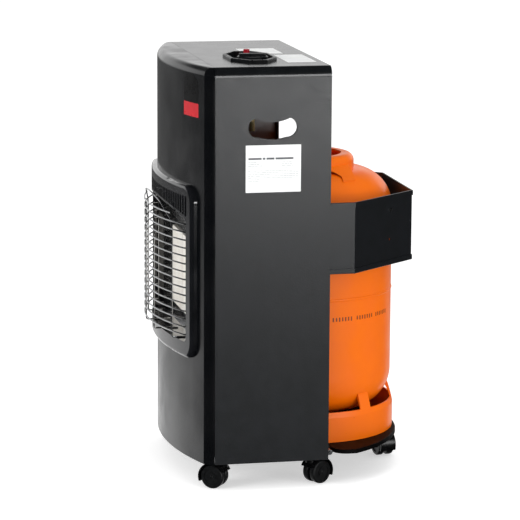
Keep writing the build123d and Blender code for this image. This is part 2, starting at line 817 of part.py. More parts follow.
inner_set = guard_wire - guard_weld
foot_level = mouth_low + guard_wire / 2
hoop_mid = 0.6 * guard_hoop_half
hoop_mid_level = guard_hoop_top - 0.25 * (guard_hoop_top - guard_hoop_shoulder)
with BuildPart() as wire_guard:
    for k in range(1, guard_wires):
        add(long_wire(guard_top - k * guard_pitch))
    add(short_wire(guard_top, guard_hoop_half))
    with BuildSketch(level(guard_top - (guard_wires - 1) * guard_pitch - guard_wire)):
        with Locations((-guard_span, guard_back), (guard_span, guard_back)):
            Circle(guard_bar_wire / 2)
    extrude(amount=(guard_wires - 2) * guard_pitch + 2 * guard_wire)
    leg = guard_at(guard_hoop_half, inner_set)
    mid = guard_at(hoop_mid, inner_set)
    hoop_points = [
        (guard_hoop_half, guard_back, foot_level), (guard_hoop_half, leg, foot_level),
        (guard_hoop_half, leg, guard_hoop_shoulder), (hoop_mid, mid, hoop_mid_level),
        (0, guard_at(0, inner_set), guard_hoop_top),
    ]
    hoop_points += [(-x, depth, z) for x, depth, z in reversed(hoop_points[:-1])]
    hoop_bends = [guard_bend, hoop_bend, hoop_slope, hoop_crown, hoop_slope, hoop_bend, guard_bend]
    add(bent_pipe(hoop_points, hoop_bends, guard_wire / 2))
    for s in (-1, 1):
        x = s * guard_inner_half
        depth = guard_at(x, inner_set)
        upright = [(x, guard_back, foot_level), (x, depth, foot_level), (x, depth, guard_top)]
        add(bent_pipe(upright, guard_bend, guard_wire / 2))
save(wire_guard.part, "wire_guard")

# ---------------------------------------------------------------- pilot light and gas train
bracket_sheet = 1.5
bracket_width = 20.0
bracket_foot = 14.0
box_bracket_x = 110.0
box_bracket_drop = 45.0
rail_bracket_x = 60.0


def strap(x, z, front, back):
    """Channel that carries a piece of the burner on the heat shield."""
    t = bracket_sheet
    with BuildPart(mode=Mode.PRIVATE) as channel:
        with BuildSketch(flank(x - bracket_width / 2)):
            with BuildLine():
                Polyline(
                    (front, z), (back, z), (back, z + bracket_foot), (back - t, z + bracket_foot),
                    (back - t, z + t), (front + t, z + t), (front + t, z + bracket_foot),
                    (front, z + bracket_foot), close=True,
                )
            make_face()
        extrude(amount=bracket_width)
    return channel.part


with BuildPart() as burner_brackets:
    for s in (-1, 1):
        for drop in (-box_bracket_drop, box_bracket_drop - bracket_foot):
            add(strap(s * box_bracket_x, plaque_level + drop, box_back, shield_place))
        add(strap(s * rail_bracket_x, rail_level - rail_radius / 2, tube_depth + rail_radius,
                  shield_place))
save(burner_brackets.part, "burner_brackets")

pilot_radius = 3.5
pilot_foot = 5.0               # the pilot's foot below its plate, and the plate ahead of it
pilot_low = pilot_plate_level - pilot_foot
pilot_cap = 2.0
pilot_cap_over = 1.5
probe_radius = 1.6
ceramic_radius = 2.4
pilot_half = 18.0
with BuildPart() as pilot_burner:
    with BuildSketch(flank(pilot_x - pilot_half)):
        with BuildLine():
            Polyline(
                (pilot_depth - pilot_foot, pilot_plate_level), (sheet, pilot_plate_level), (sheet, box_low),
                (0, box_low), (0, pilot_plate_level + sheet),
                (pilot_depth - pilot_foot, pilot_plate_level + sheet), close=True,
            )
        make_face()
    extrude(amount=2 * pilot_half)
    with BuildSketch(level(pilot_low)):
        with Locations((pilot_x, pilot_depth)):
            Circle(pilot_radius)
    extrude(amount=pilot_top - pilot_low)
    with BuildSketch(level(pilot_top)):
        with Locations((pilot_x, pilot_depth)):
            Circle(pilot_radius + pilot_cap_over)
    extrude(amount=pilot_cap)
    with BuildSketch(level(pilot_low)):
        with Locations((pilot_x, pilot_depth)):
            Circle(pilot_pipe_radius)
    extrude(amount=pilot_plate_level - pilot_low, mode=Mode.SUBTRACT)
    for x, radius in ((probe_tip_x, probe_radius), (spark_x, ceramic_radius)):
        with BuildSketch(level(pilot_plate_level - 1)):
            with Locations((x, pilot_depth)):
                Circle(radius)
        extrude(amount=sheet + 2, mode=Mode.SUBTRACT)
save(pilot_burner.part, "pilot_burner")

block_low = block_top - valve_height
bore_depth = 32.0
pipe_bend = 10.0
lead_radius = 1.5
probe_lead_radius = 1.2
probe_run_level = 135.0
pilot_run_level = 145.0
spark_run_level = 125.0
pilot_run_set = 11.0           # the pilot's pipe runs this far behind the mixing tubes' axes
probe_run_set = 5.0
pilot_run = tube_depth + pilot_run_set
probe_run = tube_depth + probe_run_set
block_front = control_depth - valve_block_depth / 2
block_side = control_x + valve_block / 2

with BuildPart() as gas_valve:
    with BuildSketch(level(block_low)):
        with Locations((control_x, control_depth)):
            RectangleRounded(valve_block, valve_block_depth, valve_corner)
    extrude(amount=valve_height)
    with BuildSketch(level(block_top)):
        with Locations((control_x, control_depth)):
            Circle(neck_radius)
    extrude(amount=neck_height)
    with BuildSketch(level(floor_low)):
        with Locations((control_x, control_depth)):
            Circle(spindle_radius + running_gap)
    extrude(amount=-bore_depth, mode=Mode.SUBTRACT)
save(gas_valve.part, "gas_valve")

with BuildPart() as gas_pipes:
    add(bent_pipe(
        [(control_x, block_front, burner_pipe_level),
         (control_x, shield_place - 2 * pipe_radius, burner_pipe_level),
         (control_x, shield_place - 2 * pipe_radius, rail_level),
         (control_x, tube_depth + rail_radius, rail_level)],
        pipe_bend, pipe_radius,
    ))
    add(bent_pipe(
        [(block_side, control_depth, pilot_pipe_level), (pilot_pipe_x, control_depth, pilot_pipe_level),
         (pilot_pipe_x, pilot_run, pilot_pipe_level), (pilot_pipe_x, pilot_run, pilot_run_level),
         (pilot_x, pilot_run, pilot_run_level), (pilot_x, pilot_depth, pilot_run_level),
         (pilot_x, pilot_depth, pilot_plate_level)],
        pipe_bend, pilot_pipe_radius,
    ))
save(gas_pipes.part, "gas_pipes")

probe_set = 8.0                # the probe's lead leaves the valve this far ahead of its axis
probe_side = control_depth - probe_set
probe_rise = 6.0               # the probe's tip above the pilot
with BuildPart() as thermocouple:
    add(bent_pipe(
        [(block_side, probe_side, probe_level), (probe_x, probe_side, probe_level),
         (probe_x, probe_run, probe_level), (probe_x, probe_run, probe_run_level),
         (probe_tip_x, probe_run, probe_run_level), (probe_tip_x, pilot_depth, probe_run_level),
         (probe_tip_x, pilot_depth, pilot_plate_level)],
        pipe_bend, probe_lead_radius,
    ))
    with BuildSketch(level(pilot_low)):
        with Locations((probe_tip_x, pilot_depth)):
            Circle(probe_radius)
    extrude(amount=pilot_top + probe_rise - pilot_low)
save(thermocouple.part, "thermocouple")

ceramic_top = box_low + 2.0
spark_tip = 0.8
spark_rise = 4.0
spark_reach = 6.0
spark_bend = 2.0
with BuildPart() as igniter_electrode:
    with BuildSketch(level(pilot_low)):
        with Locations((spark_x, pilot_depth)):
            Circle(ceramic_radius)
    extrude(amount=ceramic_top - pilot_low)
    add(bent_pipe(
        [(spark_x, pilot_depth, ceramic_top - 1), (spark_x, pilot_depth, pilot_top + spark_rise),
         (spark_x + spark_reach, pilot_depth, pilot_top + spark_rise)],
        spark_bend, spark_tip,
    ))
save(igniter_electrode.part, "igniter_electrode")

lead_clear = 9.0
lead_path = shield_place - lead_clear
with BuildPart() as ignition_lead:
    add(bent_pipe(
        [(button_x, control_depth, igniter_low), (button_x, control_depth, lead_level),
         (button_x, lead_path, lead_level), (button_x, lead_path, spark_run_level),
         (spark_x, pilot_depth, spark_run_level), (spark_x, pilot_depth, pilot_low)],
        pipe_bend, lead_radius,
    ))
save(ignition_lead.part, "ignition_lead")

inlet_nut = 11.0
inlet_nut_height = 12.0
inlet_radius = 6.0
tail_low = handle_level - tail_drop
tail_groove = 0.5
with BuildPart() as hose_inlet:
    tail_top = tail_low + hose_tail_length
    with BuildSketch(level(block_low - inlet_nut_height)):
        with Locations((control_x, control_depth)):
            RegularPolygon(inlet_nut, 6, major_radius=False)
    extrude(amount=inlet_nut_height)
    with BuildSketch(level(tail_top)):
        with Locations((control_x, control_depth)):
            Circle(inlet_radius)
    extrude(amount=block_low - inlet_nut_height - tail_top)
    with BuildSketch(level(tail_low)):
        with Locations((control_x, control_depth)):
            Circle(hose_tail_radius)
    extrude(amount=hose_tail_length)
    barb = (hose_tail_length - hose_tail_plain) / hose_tail_barbs
    for i in range(hose_tail_barbs):
        with BuildSketch(level(tail_low + hose_tail_plain + i * barb)):
            with Locations((control_x, control_depth)):
                Circle(hose_tail_radius + 1)
                Circle(hose_tail_radius - tail_groove, mode=Mode.SUBTRACT)
        extrude(amount=0.5 * barb, mode=Mode.SUBTRACT)
    with BuildSketch(level(tail_low)):
        with Locations((control_x, control_depth)):
            Circle(hose_tail_radius / 2)
    extrude(amount=block_low - tail_low - 2, mode=Mode.SUBTRACT)
save(hose_inlet.part, "hose_inlet")

# ---------------------------------------------------------------- controls
panel_edge = 2.0
with BuildPart() as control_panel:
    with BuildSketch(level(cabinet_height)):
        with Locations((panel_centre_x, panel_centre_depth)):
            add(panel_face(0))
    extrude(amount=panel_rim)
    fillet(control_panel.faces().sort_by(Axis.Z)[-1].edges(), panel_edge)
    with BuildSketch(level(floor_low)):
        with Locations((panel_centre_x, panel_centre_depth)):
            add(panel_face(panel_rim_width - panel_wall))
    extrude(amount=cabinet_height - floor_low)
    with BuildSketch(level(floor_top)):
        with Locations((panel_centre_x, panel_centre_depth)):
            add(panel_face(panel_rim_width))
    extrude(amount=panel_pocket + panel_rim + 1, mode=Mode.SUBTRACT)
    for x, radius in ((control_x, spindle_radius), (button_x, button_radius)):
        with BuildSketch(level(floor_low - 1)):
            with Locations((x, control_depth)):
                Circle(radius + 4 * running_gap)
        extrude(amount=panel_wall + 2, mode=Mode.SUBTRACT)
save(control_panel.part, "control_panel")

button_low = floor_low - button_shank
push_gap = 0.5
with BuildPart() as piezo_igniter:
    with BuildSketch(level(igniter_low)):
        with Locations((button_x, control_depth)):
            Circle(igniter_radius)
    extrude(amount=floor_low - igniter_low)
    with BuildSketch(level(button_low - button_travel - push_gap)):
        with Locations((button_x, control_depth)):
            Circle(button_radius + running_gap)
    extrude(amount=floor_low, mode=Mode.SUBTRACT)
save(piezo_igniter.part, "piezo_igniter")

with BuildPart() as igniter_button:
    with BuildSketch(level(button_low)):
        with Locations((button_x, control_depth)):
            Circle(button_radius)
    extrude(amount=cabinet_height + button_reach - button_low)
    fillet(igniter_button.faces().sort_by(Axis.Z)[-1].edges(), button_edge)
save(igniter_button.part, "igniter_button")

knob_low = floor_top + knob_travel + push_gap
bore_rest = 2.0                # free depth of the bore below the spindle
spindle_grip = 4.0
spindle_low = floor_low - bore_depth + bore_rest
spindle_top = knob_low + spindle_grip


def spindle_face(grow):
    """Round section with a flat that makes the knob turn the spindle."""
    with BuildSketch(mode=Mode.PRIVATE) as section:
        Circle(spindle_radius + grow)
        with Locations((0, 2 * spindle_radius - spindle_flat + grow)):
            Rectangle(4 * spindle_radius, 2 * spindle_radius, mode=Mode.SUBTRACT)
    return section.sketch


with BuildPart() as valve_spindle:
    with BuildSketch(level(spindle_low)):
        with Locations((control_x, control_depth)):
            Circle(spindle_radius)
    extrude(amount=floor_top - spindle_low)
    with BuildSketch(level(floor_top)):
        with Locations((control_x, control_depth)):
            add(spindle_face(0))
    extrude(amount=spindle_top - floor_top)
save(valve_spindle.part, "valve_spindle")

knob_edge = 1.5
with BuildPart() as control_knob:
    with BuildSketch(level(knob_low)):
        with Locations((control_x, control_depth)):
            Circle(knob_radius)
    extrude(amount=knob_height)
    chamfer(control_knob.faces().sort_by(Axis.Z)[-1].edges(), knob_edge)
    with BuildSketch(level(knob_low + knob_height)):
        with Locations((control_x, control_depth)):
            RectangleRounded(knob_grip_width, 2 * (knob_radius - 2 * knob_edge), knob_grip_width / 3)
    extrude(amount=knob_grip_height)
    with BuildSketch(level(knob_low)):
        with Locations((control_x, control_depth)):
            add(spindle_face(running_gap))
    extrude(amount=spindle_top - knob_low + knob_travel + push_gap, mode=Mode.SUBTRACT)
save(control_knob.part, "control_knob")

# ---------------------------------------------------------------- gas bottle
bottle_crown = bottle_high_knuckle + bottle_knuckle
bottle_middle = (bottle_low_knuckle + bottle_high_knuckle) / 2
bottle_stand = base_level + stand_gap
bottle_axis = Axis((0, seam_y + bottle_depth, 0), (0, 0, 1))
bottle_section = Plane(
    origin=(0, seam_y + bottle_depth, 0), x_dir=(1, 0, 0), z_dir=(0, -1, 0)
)


def bottle_half(inset):
    """Half section of the pressed body, set in by a wall; the outer one carries the weld bead."""
    side, bend = bottle_radius - inset, bottle_knuckle - inset
    flat = bottle_radius - bottle_knuckle
    top, foot = bottle_high_knuckle, bottle_low_knuckle
    slant = sqrt(0.5) * bend
    bead = bottle_bead_width / 2
    with BuildSketch(mode=Mode.PRIVATE) as section:
        with BuildLine():
            Polyline((flat, foot - bend), (0, foot - bend), (0, top + bend), (flat, top + bend))
            ThreePointArc((flat, top + bend), (flat + slant, top + slant), (side, top))
            if inset:
                Line((side, top), (side, foot))
            else:
                Line((side, top), (side, bottle_middle + bead))
                ThreePointArc(
                    (side, bottle_middle + bead), (side + bottle_bead, bottle_middle),
                    (side, bottle_middle - bead),
                )
                Line((side, bottle_middle - bead), (side, foot))
            ThreePointArc((side, foot), (flat + slant, foot - slant), (flat, foot - bend))
        make_face()
    return section.sketch


with BuildPart() as bottle_body:
    for inset, mode in ((0, Mode.ADD), (bottle_wall, Mode.SUBTRACT)):
        with BuildSketch(bottle_section):
            add(bottle_half(inset))
        revolve(axis=bottle_axis, mode=mode)
    with BuildSketch(level(bottle_crown + 1)):
        with Locations((0, bottle_depth)):
            Circle(bottle_neck)
    extrude(amount=-bottle_wall - 2, mode=Mode.SUBTRACT)
save(bottle_body.part, "bottle_body")

with BuildPart(mode=Mode.PRIVATE) as bottle_mass:
    with BuildSketch(bottle_section):
        add(bottle_half(0))
    revolve(axis=bottle_axis)

with BuildPart() as bottle_foot_ring:
    lean_radius = (foot_radius + foot_lip_radius) / 2 + foot_bulge
    lean_level = (foot_bend + foot_top) / 2
    t = foot_wall
    with BuildSketch(bottle_section):
        with BuildLine():
            Polyline(
                (foot_radius, foot_bend), (foot_radius, bottle_stand),
                (foot_radius - t, bottle_stand), (foot_radius - t, foot_bend),
            )
            ThreePointArc(
                (foot_radius - t, foot_bend), (lean_radius - t, lean_level),
                (foot_lip_radius - 2 * t, foot_top),
            )
            Line((foot_lip_radius - 2 * t, foot_top), (foot_lip_radius + t / 2, foot_top))
            ThreePointArc(
                (foot_lip_radius + t / 2, foot_top), (lean_radius, lean_level),
                (foot_radius, foot_bend),
            )
        make_face()
    revolve(axis=bottle_axis)
    add(bottle_mass.part, mode=Mode.SUBTRACT)
    window_angle = 360 / foot_windows - foot_bridge_angle
    with BuildSketch(level(foot_band_top)):
        for i in range(foot_windows):
            start = radians(foot_bridge_start + i * 360 / foot_windows + foot_bridge_angle / 2)
            stop = start + radians(window_angle)
            middle = (start + stop) / 2
            reach = 2 * foot_radius
            with BuildLine():
                Polyline(
                    (0, bottle_depth), (reach * cos(start), bottle_depth + reach * sin(start)),
                    (reach * cos(middle), bottle_depth + reach * sin(middle)),
                    (reach * cos(stop), bottle_depth + reach * sin(stop)), close=True,
                )
            make_face()
    extrude(amount=foot_top - foot_band_top + 1, mode=Mode.SUBTRACT)
save(bottle_foot_ring.part, "bottle_foot_ring")


def collar_profile():
    """Half section of the collar: an upright wall whose rim is rolled inward."""
    t, top = collar_wall, bottle_crown + collar_height
    low, bend = bottle_crown, bottle_crown + collar_straight
    rise = top - bend
    with BuildSketch(mode=Mode.PRIVATE) as section:
        with BuildLine():
            Polyline((collar_radius, bend), (collar_radius, low), (collar_radius - t, low),
                     (collar_radius - t, bend))
            RadiusArc((collar_radius - t, bend), (collar_radius - rise, top - t), rise - t)
            Polyline((collar_radius - rise, top - t), (collar_rim_radius, top - t),
                     (collar_rim_radius, top), (collar_radius - rise, top))
            RadiusArc((collar_radius - rise, top), (collar_radius, bend), rise)
        make_face()
    return section.sketch


def grip_profile():
    """Half section of the hand grips that slope from the collar down to the shoulder."""
    t, bend = collar_wall, bottle_crown + collar_straight
    out = grip_radius - bottle_radius + bottle_knuckle
    shoulder = bottle_high_knuckle + sqrt(bottle_knuckle**2 - out**2)
    with BuildSketch(mode=Mode.PRIVATE) as section:
        with BuildLine():
            Polyline(
                (collar_radius - t, bend), (collar_radius - t, bend - 2 * t),
                (grip_radius - 2 * t, shoulder - t), (grip_radius, shoulder - t),
                (grip_radius, shoulder + t), close=True,
            )
        make_face()
    return section.sketch


with BuildPart() as bottle_collar:
    with BuildSketch(bottle_section):
        add(grip_profile())
    revolve(axis=bottle_axis)
    with BuildSketch(level(bottle_high_knuckle)):
        with Locations((0, bottle_depth)):
            Rectangle(3 * grip_radius, 2 * grip_half_width)
            Circle(collar_radius)
    extrude(amount=bottle_knuckle + collar_height, mode=Mode.INTERSECT)
    slot_low = bottle_crown - collar_wall
    with BuildSketch(flank(-2 * grip_radius)):
        with BuildLine():
            side = bottle_depth - grip_slot_half
            far = bottle_depth + grip_slot_half
            foot = slot_low - grip_slot
            Polyline((side, slot_low), (side, foot), (far, foot), (far, slot_low))
            ThreePointArc(
                (far, slot_low), (bottle_depth, slot_low + grip_slot), (side, slot_low)
            )
        make_face()
    extrude(amount=4 * grip_radius, mode=Mode.SUBTRACT)
    with BuildSketch(bottle_section):
        add(collar_profile())
    revolve(axis=bottle_axis)
    add(bottle_mass.part, mode=Mode.SUBTRACT)
save(bottle_collar.part, "bottle_collar")

tap_height = 18.0
tap_boss = 11.0
tap_boss_height = 10.0
tap_port = 5.0
tap_groove = 2.0
with BuildPart() as bottle_valve:
    with BuildSketch(level(bottle_crown - bottle_wall)):
        with Locations((0, bottle_depth)):
            Circle(bottle_neck)
    extrude(amount=bottle_wall)
    for low, radius, height in (
        (bottle_crown, tap_radius, tap_height),
        (bottle_crown + tap_height, tap_boss, tap_boss_height),
    ):
        with BuildSketch(level(low)):
            with Locations((0, bottle_depth)):
                Circle(radius)
        extrude(amount=height)
    with BuildSketch(level(bottle_crown + tap_height / 2)):
        with Locations((0, bottle_depth)):
            Circle(tap_port)
    extrude(amount=tap_height / 2 + tap_boss_height, mode=Mode.SUBTRACT)
    groove = bottle_crown + tap_height / 3
    with BuildSketch(level(groove)):
        with Locations((0, bottle_depth)):
            Circle(tap_radius + 1)
            Circle(tap_radius - tap_groove, mode=Mode.SUBTRACT)
    extrude(amount=tap_height / 4, mode=Mode.SUBTRACT)
save(bottle_valve.part, "bottle_valve")

# ---------------------------------------------------------------- folding tray
tray_low = base_level - tray_rim


def tray_plan(inset):
    """Outline of the tray, set in by a width."""
    side, front, shoulder = tray_half - inset, tray_front + inset, tray_front + tray_side
    with BuildSketch(mode=Mode.PRIVATE) as plan:
        with BuildLine():
            Polyline((side, shoulder), (side, front), (-side, front), (-side, shoulder))
            ThreePointArc((-side, shoulder), (0, tray_rear - inset), (side, shoulder))
        make_face()
        fillet(plan.vertices().sort_by(Axis.Y)[:2], tray_corner - inset)
    return plan.sketch


knuckle_radius = 4.5
knuckle_half = hinge_leaf / 6
knuckle_gap = 0.4
pin_over = 2.0
leaf_sheet = 1.5
with BuildPart() as tray:
    with BuildSketch(level(tray_low)):
        add(tray_plan(0))
    extrude(amount=tray_rim)
    fillet(tray.faces().sort_by(Axis.Z)[-1].edges(), tray_sheet)
    with BuildSketch(level(base_level - tray_sheet)):
        add(tray_plan(tray_sheet))
    extrude(amount=-tray_rim, mode=Mode.SUBTRACT)
    with BuildSketch(level(base_level + 1)):
        with Locations(*plate_screw_spots(0, tray_caster_depth)):
            Circle(plate_screw_hole)
    extrude(amount=-tray_sheet - 2, mode=Mode.SUBTRACT)
    for s in (-1, 1):
        with BuildSketch(flank(s * hinge_x - knuckle_half)):
            with Locations((hinge_depth, hinge_level)):
                Circle(knuckle_radius)
            with Locations(((hinge_depth + tray_front + tray_corner / 2) / 2, hinge_level)):
                Rectangle(tray_front + tray_corner / 2 - hinge_depth, hinge_pin_radius)
        extrude(amount=2 * knuckle_half)
        with BuildSketch(flank(s * hinge_x - knuckle_half - 1)):
            with Locations((hinge_depth, hinge_level)):
                Circle(hinge_pin_radius)
        extrude(amount=2 * knuckle_half + 2, mode=Mode.SUBTRACT)
save(tray.part, "tray")

with BuildPart() as tray_pins:
    for s in (-1, 1):
        with BuildSketch(flank(s * hinge_x - hinge_leaf / 2 - pin_over)):
            with Locations((hinge_depth, hinge_level)):
                Circle(hinge_pin_radius)
        extrude(amount=hinge_leaf + 2 * pin_over)
save(tray_pins.part, "tray_pins")

with BuildPart() as hinge_brackets:
    for s in (-1, 1):
        for side in (-1, 1):
            inner = s * hinge_x + side * (knuckle_half + knuckle_gap)
            outer = s * hinge_x + side * hinge_leaf / 2
            low_x, high_x = min(inner, outer), max(inner, outer)
            with BuildSketch(flank(low_x)):
                with Locations((hinge_depth, hinge_level)):
                    Circle(knuckle_radius)
                with Locations(((base_rear + hinge_depth) / 2, hinge_level - knuckle_radius / 2)):
                    Rectangle(hinge_depth - base_rear, knuckle_radius)
                with Locations((hinge_depth, hinge_level)):
                    Circle(hinge_pin_radius + running_gap, mode=Mode.SUBTRACT)
            extrude(amount=high_x - low_x)
        with BuildSketch(flank(s * hinge_x - hinge_leaf / 2)):
            with Locations((base_rear + leaf_sheet / 2, (flange_low + base_underside) / 2)):
                Rectangle(leaf_sheet, base_underside - flange_low)
        extrude(amount=hinge_leaf)
save(hinge_brackets.part, "hinge_brackets")

# ---------------------------------------------------------------- rear guard


band_front = cabinet_depth + fit_gap
band_half = half - band_inset
band_screw_inset = 26.0
band_hole_drop = 50.0
band_screw_share = 0.61        # how far along the slanted panel its screw sits


def band_plan(grow):
    """Plan of the bent band round the bottle, grown by a width, as a closed outline."""
    with BuildSketch(mode=Mode.PRIVATE) as plan:
        with BuildLine():
            Polyline(
                (band_half, band_front), (band_half, band_side_rear), (band_back_half, band_rear),
                (-band_back_half, band_rear), (-band_half, band_side_rear),
                (-band_half, band_front), close=True,
            )
        make_face()
        if grow:
            offset(amount=grow, kind=Kind.INTERSECTION, mode=Mode.REPLACE)
    return plan.sketch


def slant_plane(side, height):
    """Plane on the outside of a slanted panel, at the place of its screw, facing outward."""
    across, along = band_half - band_back_half, band_rear - band_side_rear
    x = band_half - band_screw_share * across
    depth = band_side_rear + band_screw_share * along
    return Plane(
        origin=(side * x, seam_y + depth, height), x_dir=(0, 0, 1), z_dir=(side * along, across, 0)
    )


with BuildPart() as rear_guard:
    with BuildSketch(level(band_low)):
        add(band_plan(0))
    extrude(amount=band_height)
    for low in (band_low, band_low + band_height - band_hem):
        with BuildSketch(level(low)):
            add(band_plan(band_hem_out))
        extrude(amount=band_hem)
    rims = rear_guard.faces().filter_by(Axis.Z).sort_by(Axis.Z)
    chamfer(rims[0].edges() + rims[-1].edges(), 0.4 * band_hem_out)
    with BuildSketch(level(band_low - 1)):
        with Locations((0, band_front - cabinet_depth)):
            Rectangle(2 * cabinet_width, 2 * cabinet_depth)
        add(band_plan(-sheet))
        with Locations((0, band_front)):
            Rectangle(2 * (band_half - band_tab), 4 * sheet)
    extrude(amount=band_height + 2, mode=Mode.SUBTRACT)
    with BuildSketch(facing(band_front + sheet + 1)):
        with Locations(*[(s * stud_x, z) for s in (-1, 1) for z in stud_levels]):
            Circle(stud_radius)
    extrude(amount=sheet + 2, mode=Mode.SUBTRACT)
    screw_level = band_low + band_height - band_screw_inset
    for s in (-1, 1):
        for height, radius in (
            (screw_level, screw_radius), (screw_level - band_hole_drop, band_hole_radius)
        ):
            with BuildSketch(slant_plane(s, height)):
                Circle(radius)
            extrude(amount=-2 * sheet, mode=Mode.SUBTRACT)
save(rear_guard.part, "rear_guard")

with BuildPart() as guard_fixings:
    with BuildSketch(facing(band_front + sheet)):
        with Locations(*[(s * stud_x, z) for s in (-1, 1) for z in stud_levels]):
            Circle(stud_radius)
    extrude(amount=sheet + stud_length)
    with BuildSketch(facing(band_front + sheet)):
        with Locations(*[(s * stud_x, z) for s in (-1, 1) for z in stud_levels]):
            Circle(stud_radius + stud_head)
    extrude(amount=-stud_head)
    for s in (-1, 1):
        with BuildSketch(slant_plane(s, screw_level)):
            Circle(screw_radius)
        extrude(amount=-screw_length)
        with BuildSketch(slant_plane(s, screw_level)):
            Circle(screw_head)
        extrude(amount=screw_head_height, taper=15)
save(guard_fixings.part, "guard_fixings")

# ---------------------------------------------------------------- casters
casters = [
    ("front_left", caster_x, caster_front, front_left_angle),
    ("front_right", -caster_x, caster_front, front_right_angle),
    ("rear_left", caster_x, caster_rear, rear_left_angle),
    ("rear_right", -caster_x, caster_rear, rear_right_angle),
    ("tray", 0.0, tray_caster_depth, tray_caster_angle),
]
hood_radius = wheel_radius + hood_gap + hood_wall
hood_half = wheel_gap + wheel_width + fit_gap
wheel_play = 0.4
web_half = wheel_gap - wheel_play
boss_rise = 8.6                # top of the swivel boss above the wheels
boss_top = 2 * wheel_radius + boss_rise
boss_radius = 8.5
boss_height = 12.0
hub_radius = 8.0
stem_grip = 11.0
stem_low = boss_top - stem_grip
stem_drop = 0.8
stem_top = base_underside - stem_drop
hood_lip = 20.0                # the hood ends this many degrees below the axle
wheel_round = 3.0
dish_depth = 1.5


def trail_plane(x, depth, angle, aside):
    """Upright plane along a caster's trail, shifted along its axle, x pointing to the axle."""
    along, across = cos(radians(angle)), sin(radians(angle))
    return Plane(
        origin=(x + aside * across, seam_y + depth - aside * along, 0),
        x_dir=(along, across, 0), z_dir=(across, -along, 0),
    )


def caster_plates(spots, ceiling):
    """Top plates with their stem sleeves, hung below a sheet at a height."""
    with BuildPart(mode=Mode.PRIVATE) as plates:
        for x, depth in spots:
            with BuildSketch(level(ceiling - plate_sheet)):
                with Locations((x, depth)):
                    RectangleRounded(2 * plate_half, 2 * plate_half, plate_corner)
            extrude(amount=plate_sheet)
            with BuildSketch(level(ceiling - plate_sheet - sleeve_length)):
                with Locations((x, depth)):
                    Circle(sleeve_radius)
            extrude(amount=sleeve_length)
            with BuildSketch(level(ceiling)):
                with Locations((x, depth)):
                    Circle(stem_radius + running_gap)
            extrude(amount=-plate_sheet - sleeve_length, mode=Mode.SUBTRACT)
            with BuildSketch(level(ceiling + 1)):
                with Locations(*plate_screw_spots(x, depth)):
                    Circle(plate_screw_hole)
            extrude(amount=-plate_sheet - 2, mode=Mode.SUBTRACT)
    return plates.part


def plate_screws(spots, ceiling, top):
    """Four screws for each top plate, heads below and ends flush above."""
    with BuildPart(mode=Mode.PRIVATE) as screws:
        for x, depth in spots:
            with BuildSketch(level(ceiling - plate_sheet)):
                with Locations(*plate_screw_spots(x, depth)):
                    Circle(plate_screw_radius)
            extrude(amount=top - ceiling + plate_sheet)
            with BuildSketch(level(ceiling - plate_sheet)):
                with Locations(*plate_screw_spots(x, depth)):
                    Circle(1.8 * plate_screw_radius)
            extrude(amount=-plate_screw_radius)
    return screws.part


def caster_hood(x, depth, angle):
    """Plastic body: a web between the wheels, an arched hood over them and the swivel boss."""
    with BuildPart(mode=Mode.PRIVATE) as hood:
        with BuildSketch(trail_plane(x, depth, angle, -hood_half)):
            with Locations((caster_trail, wheel_radius)):
                Circle(hood_radius)
            drop = hood_radius * sin(radians(hood_lip))
            with Locations((caster_trail, wheel_radius - drop - hood_radius)):
                Rectangle(4 * hood_radius, 2 * hood_radius, mode=Mode.SUBTRACT)
            with Locations((caster_trail - 1.5 * hood_radius, wheel_radius)):
                Rectangle(2 * hood_radius, wheel_radius, mode=Mode.SUBTRACT)
            with Locations((caster_trail, wheel_radius)):
                Circle(hub_radius)
        extrude(amount=2 * hood_half)
        with BuildSketch(level(boss_top - boss_height)):
            with Locations((x, depth)):
                Circle(boss_radius)
        extrude(amount=boss_height)
        for aside in (-hood_half - 1, web_half):
            with BuildSketch(trail_plane(x, depth, angle, aside)):
                with Locations((caster_trail, wheel_radius)):
                    Circle(wheel_radius + hood_gap)
            extrude(amount=hood_half + 1 - web_half, mode=Mode.SUBTRACT)
        with BuildSketch(level(stem_low)):
            with Locations((x, depth)):
                Circle(stem_radius)
        extrude(amount=boss_top, mode=Mode.SUBTRACT)
        with BuildSketch(trail_plane(x, depth, angle, -hood_half - 1)):
            with Locations((caster_trail, wheel_radius)):
                Circle(axle_radius)
        extrude(amount=2 * hood_half + 2, mode=Mode.SUBTRACT)
    return hood.part


def caster_pins(x, depth, angle):
    """Steel swivel stem and wheel axle."""
    reach = wheel_gap + wheel_width
    with BuildPart(mode=Mode.PRIVATE) as pins:
        with BuildSketch(level(stem_low)):
            with Locations((x, depth)):
                Circle(stem_radius)
        extrude(amount=stem_top - stem_low)
        with BuildSketch(trail_plane(x, depth, angle, -reach)):
            with Locations((caster_trail, wheel_radius)):
                Circle(axle_radius)
        extrude(amount=2 * reach)
    return pins.part


def caster_wheel(x, depth, angle, side):
    """One of the two wheels, with a rounded tread and a dished outer face."""
    inner, outer = side * wheel_gap, side * (wheel_gap + wheel_width)
    with BuildPart(mode=Mode.PRIVATE) as wheel:
        with BuildSketch(trail_plane(x, depth, angle, min(inner, outer))):
            with Locations((caster_trail, wheel_radius)):
                Circle(wheel_radius)
        extrude(amount=wheel_width)
        fillet(wheel.edges().filter_by(GeomType.CIRCLE), wheel_round)
        with BuildSketch(trail_plane(x, depth, angle, outer)):
            with Locations((caster_trail, wheel_radius)):
                Circle(0.7 * wheel_radius)
                Circle(0.35 * wheel_radius, mode=Mode.SUBTRACT)
        extrude(amount=-side * dish_depth, mode=Mode.SUBTRACT)
        with BuildSketch(trail_plane(x, depth, angle, min(inner, outer) - 1)):
            with Locations((caster_trail, wheel_radius)):
                Circle(axle_radius + running_gap)
        extrude(amount=wheel_width + 2, mode=Mode.SUBTRACT)
    return wheel.part


